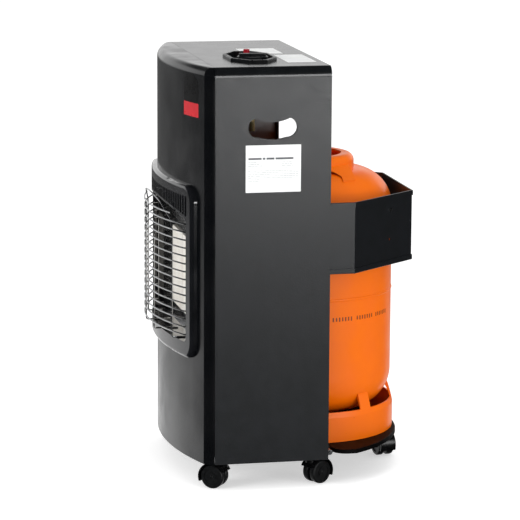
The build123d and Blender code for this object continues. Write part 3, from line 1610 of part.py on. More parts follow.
tray_spot = [(0.0, tray_caster_depth)]
tray_underside = base_level - tray_sheet
save(caster_plates(caster_spots, base_underside), "caster_plates")
save(plate_screws(caster_spots, base_underside, base_level), "caster_plate_screws")
with BuildPart() as tray_caster_plate:
    add(caster_plates(tray_spot, tray_underside))
    add(plate_screws(tray_spot, tray_underside, base_level))
save(tray_caster_plate.part, "tray_caster_plate")
for name, x, depth, angle in casters:
    save(caster_hood(x, depth, angle), f"caster_{name}_hood")
    save(caster_pins(x, depth, angle), f"caster_{name}_pins")
    save(caster_wheel(x, depth, angle, 1), f"caster_{name}_wheel_a")
    save(caster_wheel(x, depth, angle, -1), f"caster_{name}_wheel_b")
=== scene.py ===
import logging
from collections.abc import Callable, Iterable
from dataclasses import dataclass
from enum import Enum
from math import cos, pi, radians, sin, sqrt

import bmesh
import bpy
from mathutils import Matrix, Vector


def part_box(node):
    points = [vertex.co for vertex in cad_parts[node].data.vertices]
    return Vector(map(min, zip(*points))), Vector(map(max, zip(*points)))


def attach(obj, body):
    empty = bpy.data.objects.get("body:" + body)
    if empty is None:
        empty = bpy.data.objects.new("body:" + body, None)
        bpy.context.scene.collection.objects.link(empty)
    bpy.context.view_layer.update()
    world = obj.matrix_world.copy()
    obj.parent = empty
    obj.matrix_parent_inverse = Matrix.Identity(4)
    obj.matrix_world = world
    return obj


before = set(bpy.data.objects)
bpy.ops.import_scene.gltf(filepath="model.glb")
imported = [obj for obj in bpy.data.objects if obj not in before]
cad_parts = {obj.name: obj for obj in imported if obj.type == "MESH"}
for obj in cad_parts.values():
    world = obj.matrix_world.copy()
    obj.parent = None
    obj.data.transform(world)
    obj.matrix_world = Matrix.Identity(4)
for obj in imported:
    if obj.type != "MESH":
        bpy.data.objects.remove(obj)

log = logging.getLogger("heater")
Tree = bpy.types.NodeTree
Socket = bpy.types.NodeSocket
MM = 0.001
WHITE = (1.0, 1.0, 1.0, 1.0)

# Sockets of the Mix node by index, because several of them share a name.
FACTOR, NUMBER_A, NUMBER_B, COLOUR_A, COLOUR_B, COLOUR_OUT = 0, 2, 3, 6, 7, 2
# Blender's noise gathers round 0.5, so this part of its range is spread over the whole one.
NOISE_RANGE = (0.35, 0.65)
PATCH_DETAIL = 4.0
GRAIN_DETAIL = 3.0

# The cabinet's own sizes, in metres, read from the frame where a node shows them. The seam is
# where the front meets the side panels, and the bow is the front's arc ahead of its corners.
SEAM_GAP = 0.5 * MM
HALF_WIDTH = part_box("side_panel_left")[1].x
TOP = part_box("top_cover")[1].z
SEAM_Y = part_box("side_panel_left")[0].y - SEAM_GAP
BOW_DEPTH = SEAM_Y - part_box("front_shell")[0].y
CORNER_DEPTH = 12.4 * MM
BOW_RISE = BOW_DEPTH - CORNER_DEPTH
BOW_RADIUS = (HALF_WIDTH**2 + BOW_RISE**2) / (2 * BOW_RISE)


# ---------------------------------------------------------------- small helpers
def linear(hex_colour: str) -> tuple[float, float, float, float]:
    """Turns an sRGB hex colour into linear values.

    Args:
        hex_colour: Colour as "#rrggbb".

    Returns:
        Red, green, blue and an alpha of 1, linear.
    """
    channels = [int(hex_colour[i:i + 2], 16) / 255 for i in (1, 3, 5)]
    red, green, blue = [
        c / 12.92 if c <= 0.04045 else ((c + 0.055) / 1.055) ** 2.4 for c in channels
    ]
    return red, green, blue, 1.0


def add_node(tree: Tree, kind: str, sockets: dict[str | int, object] | None = None,
             **settings: object) -> bpy.types.Node:
    """Adds a node with its settings, and sets or links its inputs.

    Args:
        tree: Node tree that the node joins.
        kind: Blender's name of the node type.
        sockets: Input name or index to a plain value, or to the output that feeds it.
        **settings: The node's own attributes.

    Returns:
        The new node.
    """
    node = tree.nodes.new(kind)
    for attribute, value in settings.items():
        setattr(node, attribute, value)
    for key, value in (sockets or {}).items():
        if isinstance(value, Socket):
            tree.links.new(value, node.inputs[key])
        else:
            node.inputs[key].default_value = value
    return node


# ---------------------------------------------------------------- finishes
@dataclass(frozen=True)
class Finish:
    """A surface: its colour drifts between two tones in patches, and it has a fine grain.

    Attributes:
        colour: Main tone.
        shade: Tone that the patches drift to.
        roughness: Middle roughness.
        drift_mm: Size of the patches.
        grain_mm: Size of the grain.
        grain_height_mm: Height of the grain.
        rough_drift: How far the roughness swings each way over the patches.
        metallic: 1 for bare metal.
        coat: Weight of a clear layer on top.
        coat_roughness: Its roughness.
        specular: Strength of the mirror light, 0.5 for a full gloss binder.
    """

    colour: str
    shade: str
    roughness: float
    drift_mm: float = 40.0
    grain_mm: float = 1.5
    grain_height_mm: float = 0.02
    rough_drift: float = 0.05
    metallic: float = 0.0
    coat: float = 0.0
    coat_roughness: float = 0.05
    specular: float = 0.5

    def pattern(self, tree: Tree, place: Socket, colour: Socket) -> Socket:
        """Lays the finish's own marks over its colour; a plain finish has none.

        Args:
            tree: The material's tree.
            place: Place on the object, in metres.
            colour: Colour so far.

        Returns:
            The colour to use.
        """
        return colour

    def grain(self, tree: Tree, place: Socket) -> Socket:
        """Gives the height of the surface's grain.

        Args:
            tree: The material's tree.
            place: Place on the object, in metres.

        Returns:
            A height from 0 to 1.
        """
        return add_node(tree, "ShaderNodeTexNoise", {
            "Vector": place, "Scale": 1 / (self.grain_mm * MM), "Detail": GRAIN_DETAIL,
        }).outputs["Fac"]

    def material(self, name: str) -> bpy.types.Material:
        """Builds the material.

        Args:
            name: Its name.

        Returns:
            The Blender material.
        """
        material = bpy.data.materials.new(name)
        material.use_nodes = True
        tree = material.node_tree
        tree.nodes.clear()
        low, high = NOISE_RANGE
        place = add_node(tree, "ShaderNodeTexCoord").outputs["Object"]
        patches = add_node(tree, "ShaderNodeTexNoise", {
            "Vector": place, "Scale": 1 / (self.drift_mm * MM), "Detail": PATCH_DETAIL,
        }).outputs["Fac"]
        tone = add_node(tree, "ShaderNodeMapRange", {
            "Value": patches, "From Min": low, "From Max": high,
        })
        mixed = add_node(tree, "ShaderNodeMix", {
            FACTOR: tone.outputs["Result"],
            COLOUR_A: linear(self.colour), COLOUR_B: linear(self.shade),
        }, data_type="RGBA")
        rough = add_node(tree, "ShaderNodeMapRange", {
            "Value": patches, "From Min": low, "From Max": high,
            "To Min": self.roughness - self.rough_drift,
            "To Max": self.roughness + self.rough_drift,
        })
        bump = add_node(tree, "ShaderNodeBump", {
            "Height": self.grain(tree, place),
            "Distance": self.grain_height_mm * MM, "Strength": 1.0,
        })
        shader = add_node(tree, "ShaderNodeBsdfPrincipled", {
            "Base Color": self.pattern(tree, place, mixed.outputs[COLOUR_OUT]),
            "Roughness": rough.outputs["Result"], "Metallic": self.metallic,
            "Coat Weight": self.coat, "Coat Roughness": self.coat_roughness,
            "Specular IOR Level": self.specular,
            "Normal": bump.outputs["Normal"],
        })
        add_node(tree, "ShaderNodeOutputMaterial", {"Surface": shader.outputs["BSDF"]})
        return material


@dataclass(frozen=True)
class DrilledCeramic(Finish):
    """Pressed cordierite plaque: matt cream, with a close field of burner holes.

    Attributes:
        hole_pitch_mm: Distance between holes.
        hole_mm: Their diameter.
        hole_edge: Shares of the hole's radius between which its dark fades out.
        hole_shade: Painted shade inside a hole.
    """

    hole_pitch_mm: float = 3.2
    hole_mm: float = 1.5
    hole_edge: tuple[float, float] = (0.8, 1.2)
    hole_shade: str = "#c2bbb0"

    def pattern(self, tree: Tree, place: Socket, colour: Socket) -> Socket:
        """Paints shade into the holes, on a square field across the face.

        Args:
            tree: The material's tree.
            place: Place on the object, in metres.
            colour: Colour so far.

        Returns:
            The colour to use.
        """
        pitch = self.hole_pitch_mm * MM
        radius = self.hole_mm * MM / 2
        cell = add_node(tree, "ShaderNodeVectorMath",
                        {0: place, 1: (pitch, pitch, pitch)}, operation="MODULO")
        spot = add_node(tree, "ShaderNodeVectorMath",
                        {0: cell.outputs[0]}, operation="ABSOLUTE")
        flat = add_node(tree, "ShaderNodeVectorMath",
                        {0: spot.outputs[0], 1: (1.0, 0.0, 1.0)}, operation="MULTIPLY")
        away = add_node(tree, "ShaderNodeVectorMath",
                        {0: flat.outputs[0], 1: (pitch / 2, 0.0, pitch / 2)}, operation="DISTANCE")
        hole = add_node(tree, "ShaderNodeMapRange", {
            "Value": away.outputs["Value"], "From Min": radius * self.hole_edge[0],
            "From Max": radius * self.hole_edge[1], "To Min": 1.0, "To Max": 0.0,
        })
        # Painted shade: each hole is darkened towards the hole tone, standing in for the shadow
        # inside it.
        return add_node(tree, "ShaderNodeMix", {
            FACTOR: hole.outputs["Result"],
            COLOUR_A: colour, COLOUR_B: linear(self.hole_shade),
        }, data_type="RGBA").outputs[COLOUR_OUT]


@dataclass(frozen=True)
class ScuffedEnamel(Finish):
    """Sprayed enamel on a steel bottle that has been handled: chips and scuffs near its foot.

    Attributes:
        scuff: Tone of a scuff.
        scuff_mm: Size of the scuffs.
        scuff_low: Level where they start, in metres.
        scuff_high: Level where they end, in metres.
        scuff_core: Share of the band round its middle where they are thickest.
        scuff_cut: Noise above which there is a scuff, in that middle and at the band's edges.
        scuff_edge: Noise over which a scuff fades in.
        scuff_detail: Octaves of the noise.
        scuff_break: How ragged the noise is.
    """

    scuff: str = "#5a2a12"
    scuff_mm: float = 7.0
    scuff_low: float = 0.065
    scuff_high: float = 0.110
    scuff_core: float = 0.6
    scuff_cut: tuple[float, float] = (0.66, 0.80)
    scuff_edge: float = 0.03
    scuff_detail: float = 8.0
    scuff_break: float = 0.75

    def pattern(self, tree: Tree, place: Socket, colour: Socket) -> Socket:
        """Adds the scuffs between two levels.

        Args:
            tree: The material's tree.
            place: Place on the object, in metres.
            colour: Colour so far.

        Returns:
            The colour to use.
        """
        marks = add_node(tree, "ShaderNodeTexNoise", {
            "Vector": place, "Scale": 1 / (self.scuff_mm * MM),
            "Detail": self.scuff_detail, "Roughness": self.scuff_break,
        })
        height = add_node(tree, "ShaderNodeSeparateXYZ", {0: place}).outputs["Z"]
        middle = (self.scuff_low + self.scuff_high) / 2
        spread = (self.scuff_high - self.scuff_low) / 2
        off = add_node(tree, "ShaderNodeMath", {0: height, 1: middle}, operation="SUBTRACT")
        off = add_node(tree, "ShaderNodeMath", {0: off.outputs[0]}, operation="ABSOLUTE")
        near = add_node(tree, "ShaderNodeMapRange", {
            "Value": off.outputs[0], "From Min": self.scuff_core * spread, "From Max": spread,
            "To Min": self.scuff_cut[0], "To Max": self.scuff_cut[1],
        })
        over = add_node(tree, "ShaderNodeMath",
                        {0: marks.outputs["Fac"], 1: near.outputs["Result"]}, operation="SUBTRACT")
        worn = add_node(tree, "ShaderNodeMapRange",
                        {"Value": over.outputs[0], "From Min": 0.0, "From Max": self.scuff_edge})
        return add_node(tree, "ShaderNodeMix", {
            FACTOR: worn.outputs["Result"], COLOUR_A: colour, COLOUR_B: linear(self.scuff),
        }, data_type="RGBA").outputs[COLOUR_OUT]


@dataclass(frozen=True)
class DirectionalMetal(Finish):
    """Rolled, turned or brushed metal, whose grain runs along X.

    Attributes:
        stretch: How many times longer the grain is than wide.
    """

    stretch: float = 30.0

    def grain(self, tree: Tree, place: Socket) -> Socket:
        """Gives the height of a grain that is drawn out along X.

        Args:
            tree: The material's tree.
            place: Place on the object, in metres.

        Returns:
            A height from 0 to 1.
        """
        drawn = add_node(tree, "ShaderNodeVectorMath",
                         {0: place, 1: (1 / self.stretch, 1.0, 1.0)}, operation="MULTIPLY")
        return super().grain(tree, drawn.outputs[0])


class Look(Enum):
    """Every finish on the heater, named for its material and how its surface was made."""

    # Polyester powder coat, baked on sheet steel: its fine orange peel breaks up reflections.
    # A grain of 0.8 mm can't show at this distance, so it is drawn at 2.2 mm.
    POWDER_COAT = Finish("#17191b", "#191b1e", 0.30, drift_mm=25, grain_mm=2.2,
                         grain_height_mm=0.09, rough_drift=0.012)
    # The same powder on the top cover, laid thicker: glossier, so it mirrors the room at a slant.
    THICK_POWDER_COAT = Finish("#0d0e10", "#111315", 0.21, drift_mm=30, grain_mm=2.2,
                               grain_height_mm=0.02, rough_drift=0.008)
    # The same powder on the bowed front, drawn smoother; its colour is the powder's own black,
    # made darker than the side panels' as painted shade.
    SMOOTH_POWDER_COAT = Finish("#07080a", "#0a0b0d", 0.21, drift_mm=60, grain_mm=2.5,
                                grain_height_mm=0.01)
    # Vitreous enamel on the pressed surround: deep black, glassy, with sharp highlights.
    VITREOUS_ENAMEL = Finish("#0d0e10", "#121316", 0.14, drift_mm=50, grain_mm=6,
                             grain_height_mm=0.01, coat=0.5)
    # Bright chromium plate on drawn wire: mirror-like, with the faint draw marks of the wire.
    CHROMIUM_PLATE = Finish("#c9cacb", "#b9babc", 0.16, drift_mm=25, grain_mm=1.2,
                            grain_height_mm=0.01, metallic=1.0)
    # Bright-rolled stainless sheet: mirrors the plaques, a little wavy.
    BRIGHT_STAINLESS = DirectionalMetal("#b8b8ba", "#a6a7aa", 0.2, drift_mm=30, grain_mm=2.0,
                                        grain_height_mm=0.02, metallic=1.0)
    # Zinc-plated sheet: dull silver with a slight bloom.
    ZINC_PLATE = Finish("#9fa3a6", "#8c9094", 0.38, drift_mm=14, grain_mm=1.0, metallic=1.0)
    # Pressed cordierite, fired: matt cream; its burner holes are darkened as painted shade.
    CORDIERITE = DrilledCeramic("#f3f0ea", "#ebe6dd", 0.85, drift_mm=20, grain_mm=0.8,
                                grain_height_mm=0.05)
    # Turned brass, unlacquered: yellow, with fine tool marks. The frame has a plain material of
    # this name, which is found first, so that one shows.
    BRASS = DirectionalMetal("#b89048", "#a67e3a", 0.3, drift_mm=12, grain_mm=0.8, metallic=1.0)
    # Drawn aluminium and copper tube, handled: reddish and a little dulled.
    DRAWN_TUBE = Finish("#b4835c", "#9c6d49", 0.34, drift_mm=12, grain_mm=1.0, metallic=1.0)
    # Pressure die-cast aluminium: pale and softly pitted.
    DIE_CAST_ALUMINIUM = Finish("#a9abad", "#97999c", 0.5, drift_mm=10, grain_mm=1.6,
                                grain_height_mm=0.06, metallic=1.0)
    # Injection-moulded ABS: satin black with a fine spark texture.
    BLACK_ABS = Finish("#111214", "#17181a", 0.32, drift_mm=12, grain_mm=1.0,
                       grain_height_mm=0.02)
    # Injection-moulded red ABS, polished by use.
    RED_ABS = Finish("#a80c22", "#8e0a1c", 0.3, drift_mm=8, grain_mm=1.0, grain_height_mm=0.01,
                     coat=0.3)
    # Extruded silicone sleeve: dull and slightly dusty.
    SILICONE_SLEEVE = Finish("#2a2927", "#33312e", 0.7, drift_mm=8, grain_mm=1.2)
    # Ground and nickel-plated steel: bright, with a fine grain.
    NICKEL_PLATE = Finish("#c4c6c8", "#afb1b4", 0.24, drift_mm=6, grain_mm=0.8, metallic=1.0)
    # Matt paint, sprayed on sheet steel: its own near black, darkened further as painted shade of
    # the bottle's shadow on the tray, and mirrors almost nothing.
    MATT_PAINT = Finish("#060607", "#0a0909", 0.6, drift_mm=30, grain_mm=3.0,
                        grain_height_mm=0.02, specular=0.1)
    # Alkyd enamel, sprayed on the bottle: warm orange, half glossy, slightly wavy.
    ALKYD_ENAMEL = ScuffedEnamel("#fc7402", "#fa7001", 0.34, drift_mm=45, grain_mm=5.0,
                                 grain_height_mm=0.03, specular=0.32)
    # Injection-moulded glass-filled nylon: glossy black.
    MOULDED_NYLON = Finish("#070708", "#0b0b0c", 0.26, drift_mm=10, grain_mm=1.2,
                           grain_height_mm=0.02)
    # Moulded polyurethane: black, with a dull bloom.
    MOULDED_POLYURETHANE = Finish("#0e0f10", "#161718", 0.42, drift_mm=6, grain_mm=1.4,
                                  grain_height_mm=0.04)
    # Cast vinyl film: satin white.
    WHITE_VINYL = Finish("#f2f3f2", "#ebecec", 0.45, drift_mm=25, grain_mm=2.0,
                         grain_height_mm=0.004)
    # Offset print in dark grey and in pale grey ink.
    GREY_INK = Finish("#55585b", "#64676a", 0.5, drift_mm=4, grain_mm=1.0,
                      grain_height_mm=0.002)
    PALE_INK = Finish("#b4b7b8", "#c0c2c3", 0.5, drift_mm=4, grain_mm=1.0,
                      grain_height_mm=0.002)
    # Printed vinyl film, laminated: glossy red, and a black that mirrors little.
    RED_VINYL = Finish("#b31420", "#a8101c", 0.32, drift_mm=15, grain_mm=2.0,
                       grain_height_mm=0.004)
    BLACK_VINYL = Finish("#040405", "#060607", 0.3, drift_mm=15, grain_mm=2.0,
                         grain_height_mm=0.004, specular=0.12)
    # Stencil ink sprayed on the enamel: brown where the orange shows through.
    STENCIL_INK = Finish("#6e2c0c", "#8a3a10", 0.5, drift_mm=2.5, grain_mm=1.5,
                         grain_height_mm=0.01)

    @property
    def surface(self) -> bpy.types.Material:
        """The Blender material of this finish, made once, or the frame's own of that name."""
        name = self.name.lower()
        return bpy.data.materials.get(name) or self.value.material(name)


def dress(look: Look, nodes: Iterable[str]) -> None:
    """Gives carried-over nodes their finish.

    Args:
        look: The finish.
        nodes: Names of the nodes.
    """
    for node in nodes:
        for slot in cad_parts[node].material_slots:
            slot.material = look.surface
        log.info("%s is finished in %s", node, look.name.lower())


def place_piece(name: str, bm: bmesh.types.BMesh, look: Look, body: str, slot: str) -> None:
    """Turns a bmesh's faces outward and puts it in the scene as a new piece.

    Args:
        name: The piece's name.
        bm: Its mesh under work, in the row frame, freed here.
        look: Its finish.
        body: Body that it rides on.
        slot: The record's material slot; not used.
    """
    bmesh.ops.recalc_face_normals(bm, faces=bm.faces)
    mesh = bpy.data.meshes.new(name)
    bm.to_mesh(mesh)
    bm.free()
    mesh.materials.append(look.surface)
    piece = bpy.data.objects.new(name, mesh)
    bpy.context.scene.collection.objects.link(piece)
    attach(piece, body)
    log.info("%s: %d faces, rides on %s", name, len(mesh.polygons), body)


# ---------------------------------------------------------------- films on a surface
Surface = Callable[[float, float, float], Vector]
Rows = list[tuple[float, float, float]]


def bow_at(x: float, out: float = 0.0) -> float:
    """Y of the bowed front at x, or of a face that far ahead of it.

    Args:
        x: Place across the front.
        out: Distance ahead of the front.

    Returns:
        The row frame's Y.
    """
    return SEAM_Y + BOW_RADIUS - BOW_DEPTH - sqrt((BOW_RADIUS + out) ** 2 - x**2)


def on_front(x: float, z: float, out: float) -> Vector:
    """Point on the bowed front, a distance out of it."""
    return Vector((x, bow_at(x, out), z))


def on_side(depth: float, z: float, out: float) -> Vector:
    """Point on the left side panel, a distance out of it."""
    return Vector((HALF_WIDTH + out, SEAM_Y + depth, z))


def on_top(depth: float, x: float, out: float) -> Vector:
    """Point on the top cover, a distance above it."""
    return Vector((x, SEAM_Y + depth, TOP + out))


def block_rows(low: float, high: float, left: float, right: float, corner: float = 0.0,
               foot_corner: float | None = None, steps: int = 5) -> Rows:
    """Rows of a rectangle with rounded corners.

    Args:
        low: Lower edge.
        high: Upper edge.
        left: Left edge.
        right: Right edge.
        corner: Radius of the upper corners.
        foot_corner: Radius of the lower corners, the same if left out.
        steps: Rows in each corner.

    Returns:
        For each row its height, left end and right end.
    """
    foot = corner if foot_corner is None else foot_corner
    rows: Rows = []
    for radius, base, sign in ((foot, low, 1), (corner, high, -1)):
        if radius == 0:
            turn = [(base, left, right)]
        else:
            angles = [i * pi / (2 * steps) for i in range(steps + 1)]
            turn = [(base + sign * radius * (1 - cos(a)), left + radius * (1 - sin(a)),
                     right - radius * (1 - sin(a))) for a in angles]
        rows += turn if sign > 0 else turn[::-1]
    return rows


def add_film(bm: bmesh.types.BMesh, surface: Surface, rows: Rows, thick: float, columns: int = 2,
             base: float = 0.0) -> None:
    """Adds a closed thin film that follows a surface.

    Args:
        bm: Mesh that it joins.
        surface: Gives the point for a place across, a place up and a distance out.
        rows: The outline, row by row.
        thick: Thickness.
        columns: Cells across.
        base: Distance of its back face from the surface.
    """
    grids = []
    for out in (base + thick, base):
        grids.append([
            [bm.verts.new(surface(left + (right - left) * i / columns, level, out))
             for i in range(columns + 1)]
            for level, left, right in rows
        ])
    front, back = grids
    for j in range(len(rows) - 1):
        for i in range(columns):
            bm.faces.new((front[j][i], front[j][i + 1], front[j + 1][i + 1], front[j + 1][i]))
            bm.faces.new((back[j][i], back[j + 1][i], back[j + 1][i + 1], back[j][i + 1]))
        for i in (0, columns):
            rim = (front[j][i], front[j + 1][i], back[j + 1][i], back[j][i])
            bm.faces.new(rim if i == 0 else rim[::-1])
    for i in range(columns):
        for j in (0, len(rows) - 1):
            rim = (front[j][i], back[j][i], back[j][i + 1], front[j][i + 1])
            bm.faces.new(rim if j == 0 else rim[::-1])


def add_words(bm: bmesh.types.BMesh, surface: Surface, line: tuple[float, float, float],
              height: float, words: Iterable[float], gap: float, base: float,
              thick: float) -> None:
    """Adds a row of plain bars in place of print.

    Args:
        bm: Mesh that they join.
        surface: The surface that they lie on.
        line: Level of the row's foot, its left end and its right end.
        height: Height of a bar.
        words: Lengths of the bars, in turn, until the row is full.
        gap: Space between bars.
        base: Distance of their back from the surface.
        thick: Thickness of the ink.
    """
    foot, left, right = line
    for length in words:
        end = min(left + length, right)
        if end - left < height / 2:
            return
        add_film(bm, surface, block_rows(foot, foot + height, left, end), thick, base=base)
        left = end + gap


# ---------------------------------------------------------------- sub-assemblies
@dataclass
class Cabinet:
    """Painted steel cabinet with the films stuck on it.

    Attributes:
        film: Thickness of a film.
        ink: Thickness of its print.
        film_corner: Radius of the corners of the top labels and of the sticker's foot.
        label_depths: Front and rear edge of the side label, behind the seam.
        label_levels: Its lower and upper edge.
        label_corner: Radius of its corners.
        label_margin: Bare edge at its sides.
        title_drop: Distance of the title's foot from the label's upper edge.
        title_insets: Further margins at the title's two ends.
        title_height: Height of its bars.
        title_words: Their lengths.
        title_gap: Space between them.
        words: Lengths of the small bars, in turn.
        word_gap: Space between them.
        small_line: Height of a small bar.
        small_pitch: Distance from one small line to the next.
        table_drop: Distance of the table's first foot from the label's upper edge.
        table_start: Where its right column starts, ahead of the right margin.
        table_ends: For each line, how far its left column reaches, and how far the right one
            stops short of the right margin.
        text_drop: Distance of the text's first foot from the label's upper edge.
        text_lines: Lines of text.
        full_lines: Those that reach the right margin.
        last_reach: How far the others reach.
        sticker_x: Left and right edge of the sticker on the front.
        sticker_levels: Its lower edge, the level where its tones meet, and its upper edge.
        sticker_head: Radius of its upper corners.
        sticker_columns: Cells across it, so that it follows the bow.
        top_films: For each label on the top, its ends across, and its front and rear edge
            behind the seam.
    """

    film: float = 0.12 * MM
    ink: float = 0.03 * MM
    film_corner: float = 2 * MM
    label_depths: tuple[float, float] = (50.8 * MM, 143.7 * MM)
    label_levels: tuple[float, float] = (505.4 * MM, 583.8 * MM)
    label_corner: float = 0.8 * MM
    label_margin: float = 4.0 * MM
    title_drop: float = 24 * MM
    title_insets: tuple[float, float] = (0.5 * MM, 2 * MM)
    title_height: float = 3.2 * MM
    title_words: tuple[float, ...] = (22 * MM, 4 * MM, 13 * MM, 30 * MM)
    title_gap: float = 2.2 * MM
    words: tuple[float, ...] = tuple(
        w * MM for w in (4.2, 2.6, 6.1, 3.4, 5.0, 1.8, 7.2, 2.9, 4.6, 3.8, 5.7, 2.2)
    )
    word_gap: float = 0.9 * MM
    small_line: float = 1.0 * MM
    small_pitch: float = 2.9 * MM
    table_drop: float = 29 * MM
    table_start: float = 28 * MM
    table_ends: tuple[tuple[float, float], ...] = (
        (14 * MM, 8 * MM), (19 * MM, 11 * MM), (24 * MM, 8 * MM), (14 * MM, 11 * MM),
    )
    text_drop: float = 43 * MM
    text_lines: int = 7
    full_lines: int = 5
    last_reach: float = 19 * MM
    sticker_x: tuple[float, float] = (126 * MM, 180 * MM)
    sticker_levels: tuple[float, float, float] = (627 * MM, 650 * MM, 697 * MM)
    sticker_head: float = 22 * MM
    sticker_columns: int = 8
    top_films: tuple[tuple[float, float, float, float], ...] = (
        (-68 * MM, 15 * MM, 90 * MM, 156 * MM), (35 * MM, 147 * MM, 135 * MM, 184 * MM),
    )

    def dress(self) -> None:
        """Finishes the sheet-metal nodes."""
        dress(Look.POWDER_COAT, ("side_panel_left", "side_panel_right", "base_plate",
                                 "heat_shield"))
        dress(Look.THICK_POWDER_COAT, ("top_cover",))
        # The front's darker powder carries painted shade.
        dress(Look.SMOOTH_POWDER_COAT, ("front_shell",))
        dress(Look.NICKEL_PLATE, ("cabinet_screws",))

    def add_print(self, bm: bmesh.types.BMesh, line: tuple[float, float, float],
                  words: Iterable[float]) -> None:
        """Adds a small line of bars on the side label.

        Args:
            bm: Mesh that it joins.
            line: Level of its foot, its left end and its right end.
            words: Lengths of its bars, in turn.
        """
        add_words(bm, on_side, line, self.small_line, words, self.word_gap, self.film, self.ink)

    def build_side_label(self) -> None:
        """White data label under the hand hole, with plain bars in place of print."""
        left, right = self.label_depths
        low, high = self.label_levels
        bm = bmesh.new()
        add_film(bm, on_side, block_rows(low, high, left, right, self.label_corner), self.film)
        place_piece("side_label", bm, Look.WHITE_VINYL, "cabinet", "cabinet_paint")
        left, right = left + self.label_margin, right - self.label_margin
        bm = bmesh.new()
        near, far = self.title_insets
        add_words(bm, on_side, (high - self.title_drop, left + near, right - far),
                  self.title_height, self.title_words, self.title_gap, self.film, self.ink)
        place_piece("side_label_title", bm, Look.GREY_INK, "cabinet", "cabinet_paint")
        bm = bmesh.new()
        for i, (reach, short) in enumerate(self.table_ends):
            foot = high - self.table_drop - i * self.small_pitch
            self.add_print(bm, (foot, left, left + reach), self.words[i:])
            self.add_print(bm, (foot, right - self.table_start, right - short),
                           self.words[i + 2:])
        for i in range(self.text_lines):
            foot = high - self.text_drop - i * self.small_pitch
            end = right if i < self.full_lines else left + self.last_reach
            self.add_print(bm, (foot, left, end), self.words[i:] + self.words[:i] + self.words)
        place_piece("side_label_lines", bm, Look.PALE_INK, "cabinet", "cabinet_paint")

    def build_top_labels(self) -> None:
        """Two white films on the top cover behind the controls."""
        for number, (low, high, near, far) in enumerate(self.top_films, 1):
            bm = bmesh.new()
            add_film(bm, on_top, block_rows(low, high, near, far, self.film_corner), self.film)
            place_piece(f"top_label_{number}", bm, Look.WHITE_VINYL, "cabinet", "cabinet_paint")

    def build_sticker(self) -> None:
        """Plain two-tone sticker on the bowed front, red below and black above."""
        left, right = self.sticker_x
        low, middle, high = self.sticker_levels
        foot = block_rows(low, middle, left, right, 0.0, self.film_corner)
        field = block_rows(middle, high, left, right, self.sticker_head, 0.0)
        for name, rows, look, slot in (
            ("sticker_foot", foot, Look.RED_VINYL, "red_plastic"),
            ("sticker_field", field, Look.BLACK_VINYL, "black_plastic"),
        ):
            bm = bmesh.new()
            add_film(bm, on_front, rows, self.film, self.sticker_columns)
            place_piece(name, bm, look, "cabinet", slot)


@dataclass
class RadiantFront:
    """Surround, wire guard and the ceramic burner behind it."""

    def dress(self) -> None:
        """Finishes the nodes of the radiant front."""
        dress(Look.VITREOUS_ENAMEL, ("burner_surround",))
        dress(Look.CHROMIUM_PLATE, ("wire_guard",))
        dress(Look.BRIGHT_STAINLESS, ("reflector",))
        dress(Look.CORDIERITE, ("ceramic_plaques",))
        dress(Look.ZINC_PLATE, ("burner_box", "burner_brackets", "mixing_tubes", "pilot_burner"))


@dataclass
class GasTrain:
    """Valve, pipes, rail, injectors and the ignition parts."""

    def dress(self) -> None:
        """Finishes the nodes of the gas train."""
        dress(Look.BRASS, ("injectors", "hose_inlet", "valve_spindle"))
        dress(Look.DIE_CAST_ALUMINIUM, ("gas_valve",))
        dress(Look.DRAWN_TUBE, ("gas_pipes", "thermocouple"))
        dress(Look.ZINC_PLATE, ("gas_rail",))
        dress(Look.CORDIERITE, ("igniter_electrode",))
        dress(Look.SILICONE_SLEEVE, ("ignition_lead",))
        dress(Look.BLACK_ABS, ("piezo_igniter",))


@dataclass
class Controls:
    """Recessed control panel with its knob and its button."""

    def dress(self) -> None:
        """Finishes the nodes of the controls."""
        dress(Look.BLACK_ABS, ("control_panel", "control_knob"))
        dress(Look.RED_ABS, ("igniter_button",))


@dataclass
class Bottle:
    """Orange steel bottle with its stencil marks.

    Attributes:
        radius: Radius of the bottle's wall.
        marks_low: Level of the marks' feet.
        marks_high: Level of their heads.
        first_mark: Where the first one stands, in degrees round from +X.
        last_mark: Where the last group ends, likewise.
        groups: Groups of marks.
        group_share: Share of a group's span that its marks fill.
        marks_each: Marks in a group.
        mark_wide: Width of a mark.
        mark_lift: How much higher the foot of every other mark is.
        ink: Thickness of the ink.
    """

    radius: float = 151 * MM
    marks_low: float = 270 * MM
    marks_high: float = 277 * MM
    first_mark: float = 6.0
    last_mark: float = 59.0
    groups: int = 3
    group_share: float = 0.86
    marks_each: int = 7
    mark_wide: float = 2.4 * MM
    mark_lift: float = 0.6 * MM
    ink: float = 0.06 * MM

    def dress(self) -> None:
        """Finishes the nodes of the bottle."""
        dress(Look.ALKYD_ENAMEL, ("bottle_body", "bottle_foot_ring", "bottle_collar"))
        dress(Look.BRASS, ("bottle_valve",))

    def build_stencil(self) -> None:
        """Groups of plain upright bars where a stencil was sprayed on."""
        low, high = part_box("bottle_body")
        centre = (low + high) / 2

        def on_bottle(along: float, z: float, out: float) -> Vector:
            """Point on the bottle's wall, a distance out of it."""
            turn = along / self.radius
            reach = self.radius + out
            return Vector((centre.x + reach * cos(turn), centre.y + reach * sin(turn), z))

        bm = bmesh.new()
        span = (self.last_mark - self.first_mark) / self.groups
        for group in range(self.groups):
            for i in range(self.marks_each):
                turn = self.first_mark + (group + self.group_share * i / self.marks_each) * span
                along = radians(turn) * self.radius
                foot = self.marks_low + self.mark_lift * ((i + group) % 2)
                rows = block_rows(foot, self.marks_high, along, along + self.mark_wide)
                add_film(bm, on_bottle, rows, self.ink)
        place_piece("bottle_stencil", bm, Look.STENCIL_INK, "bottle", "bottle_paint")


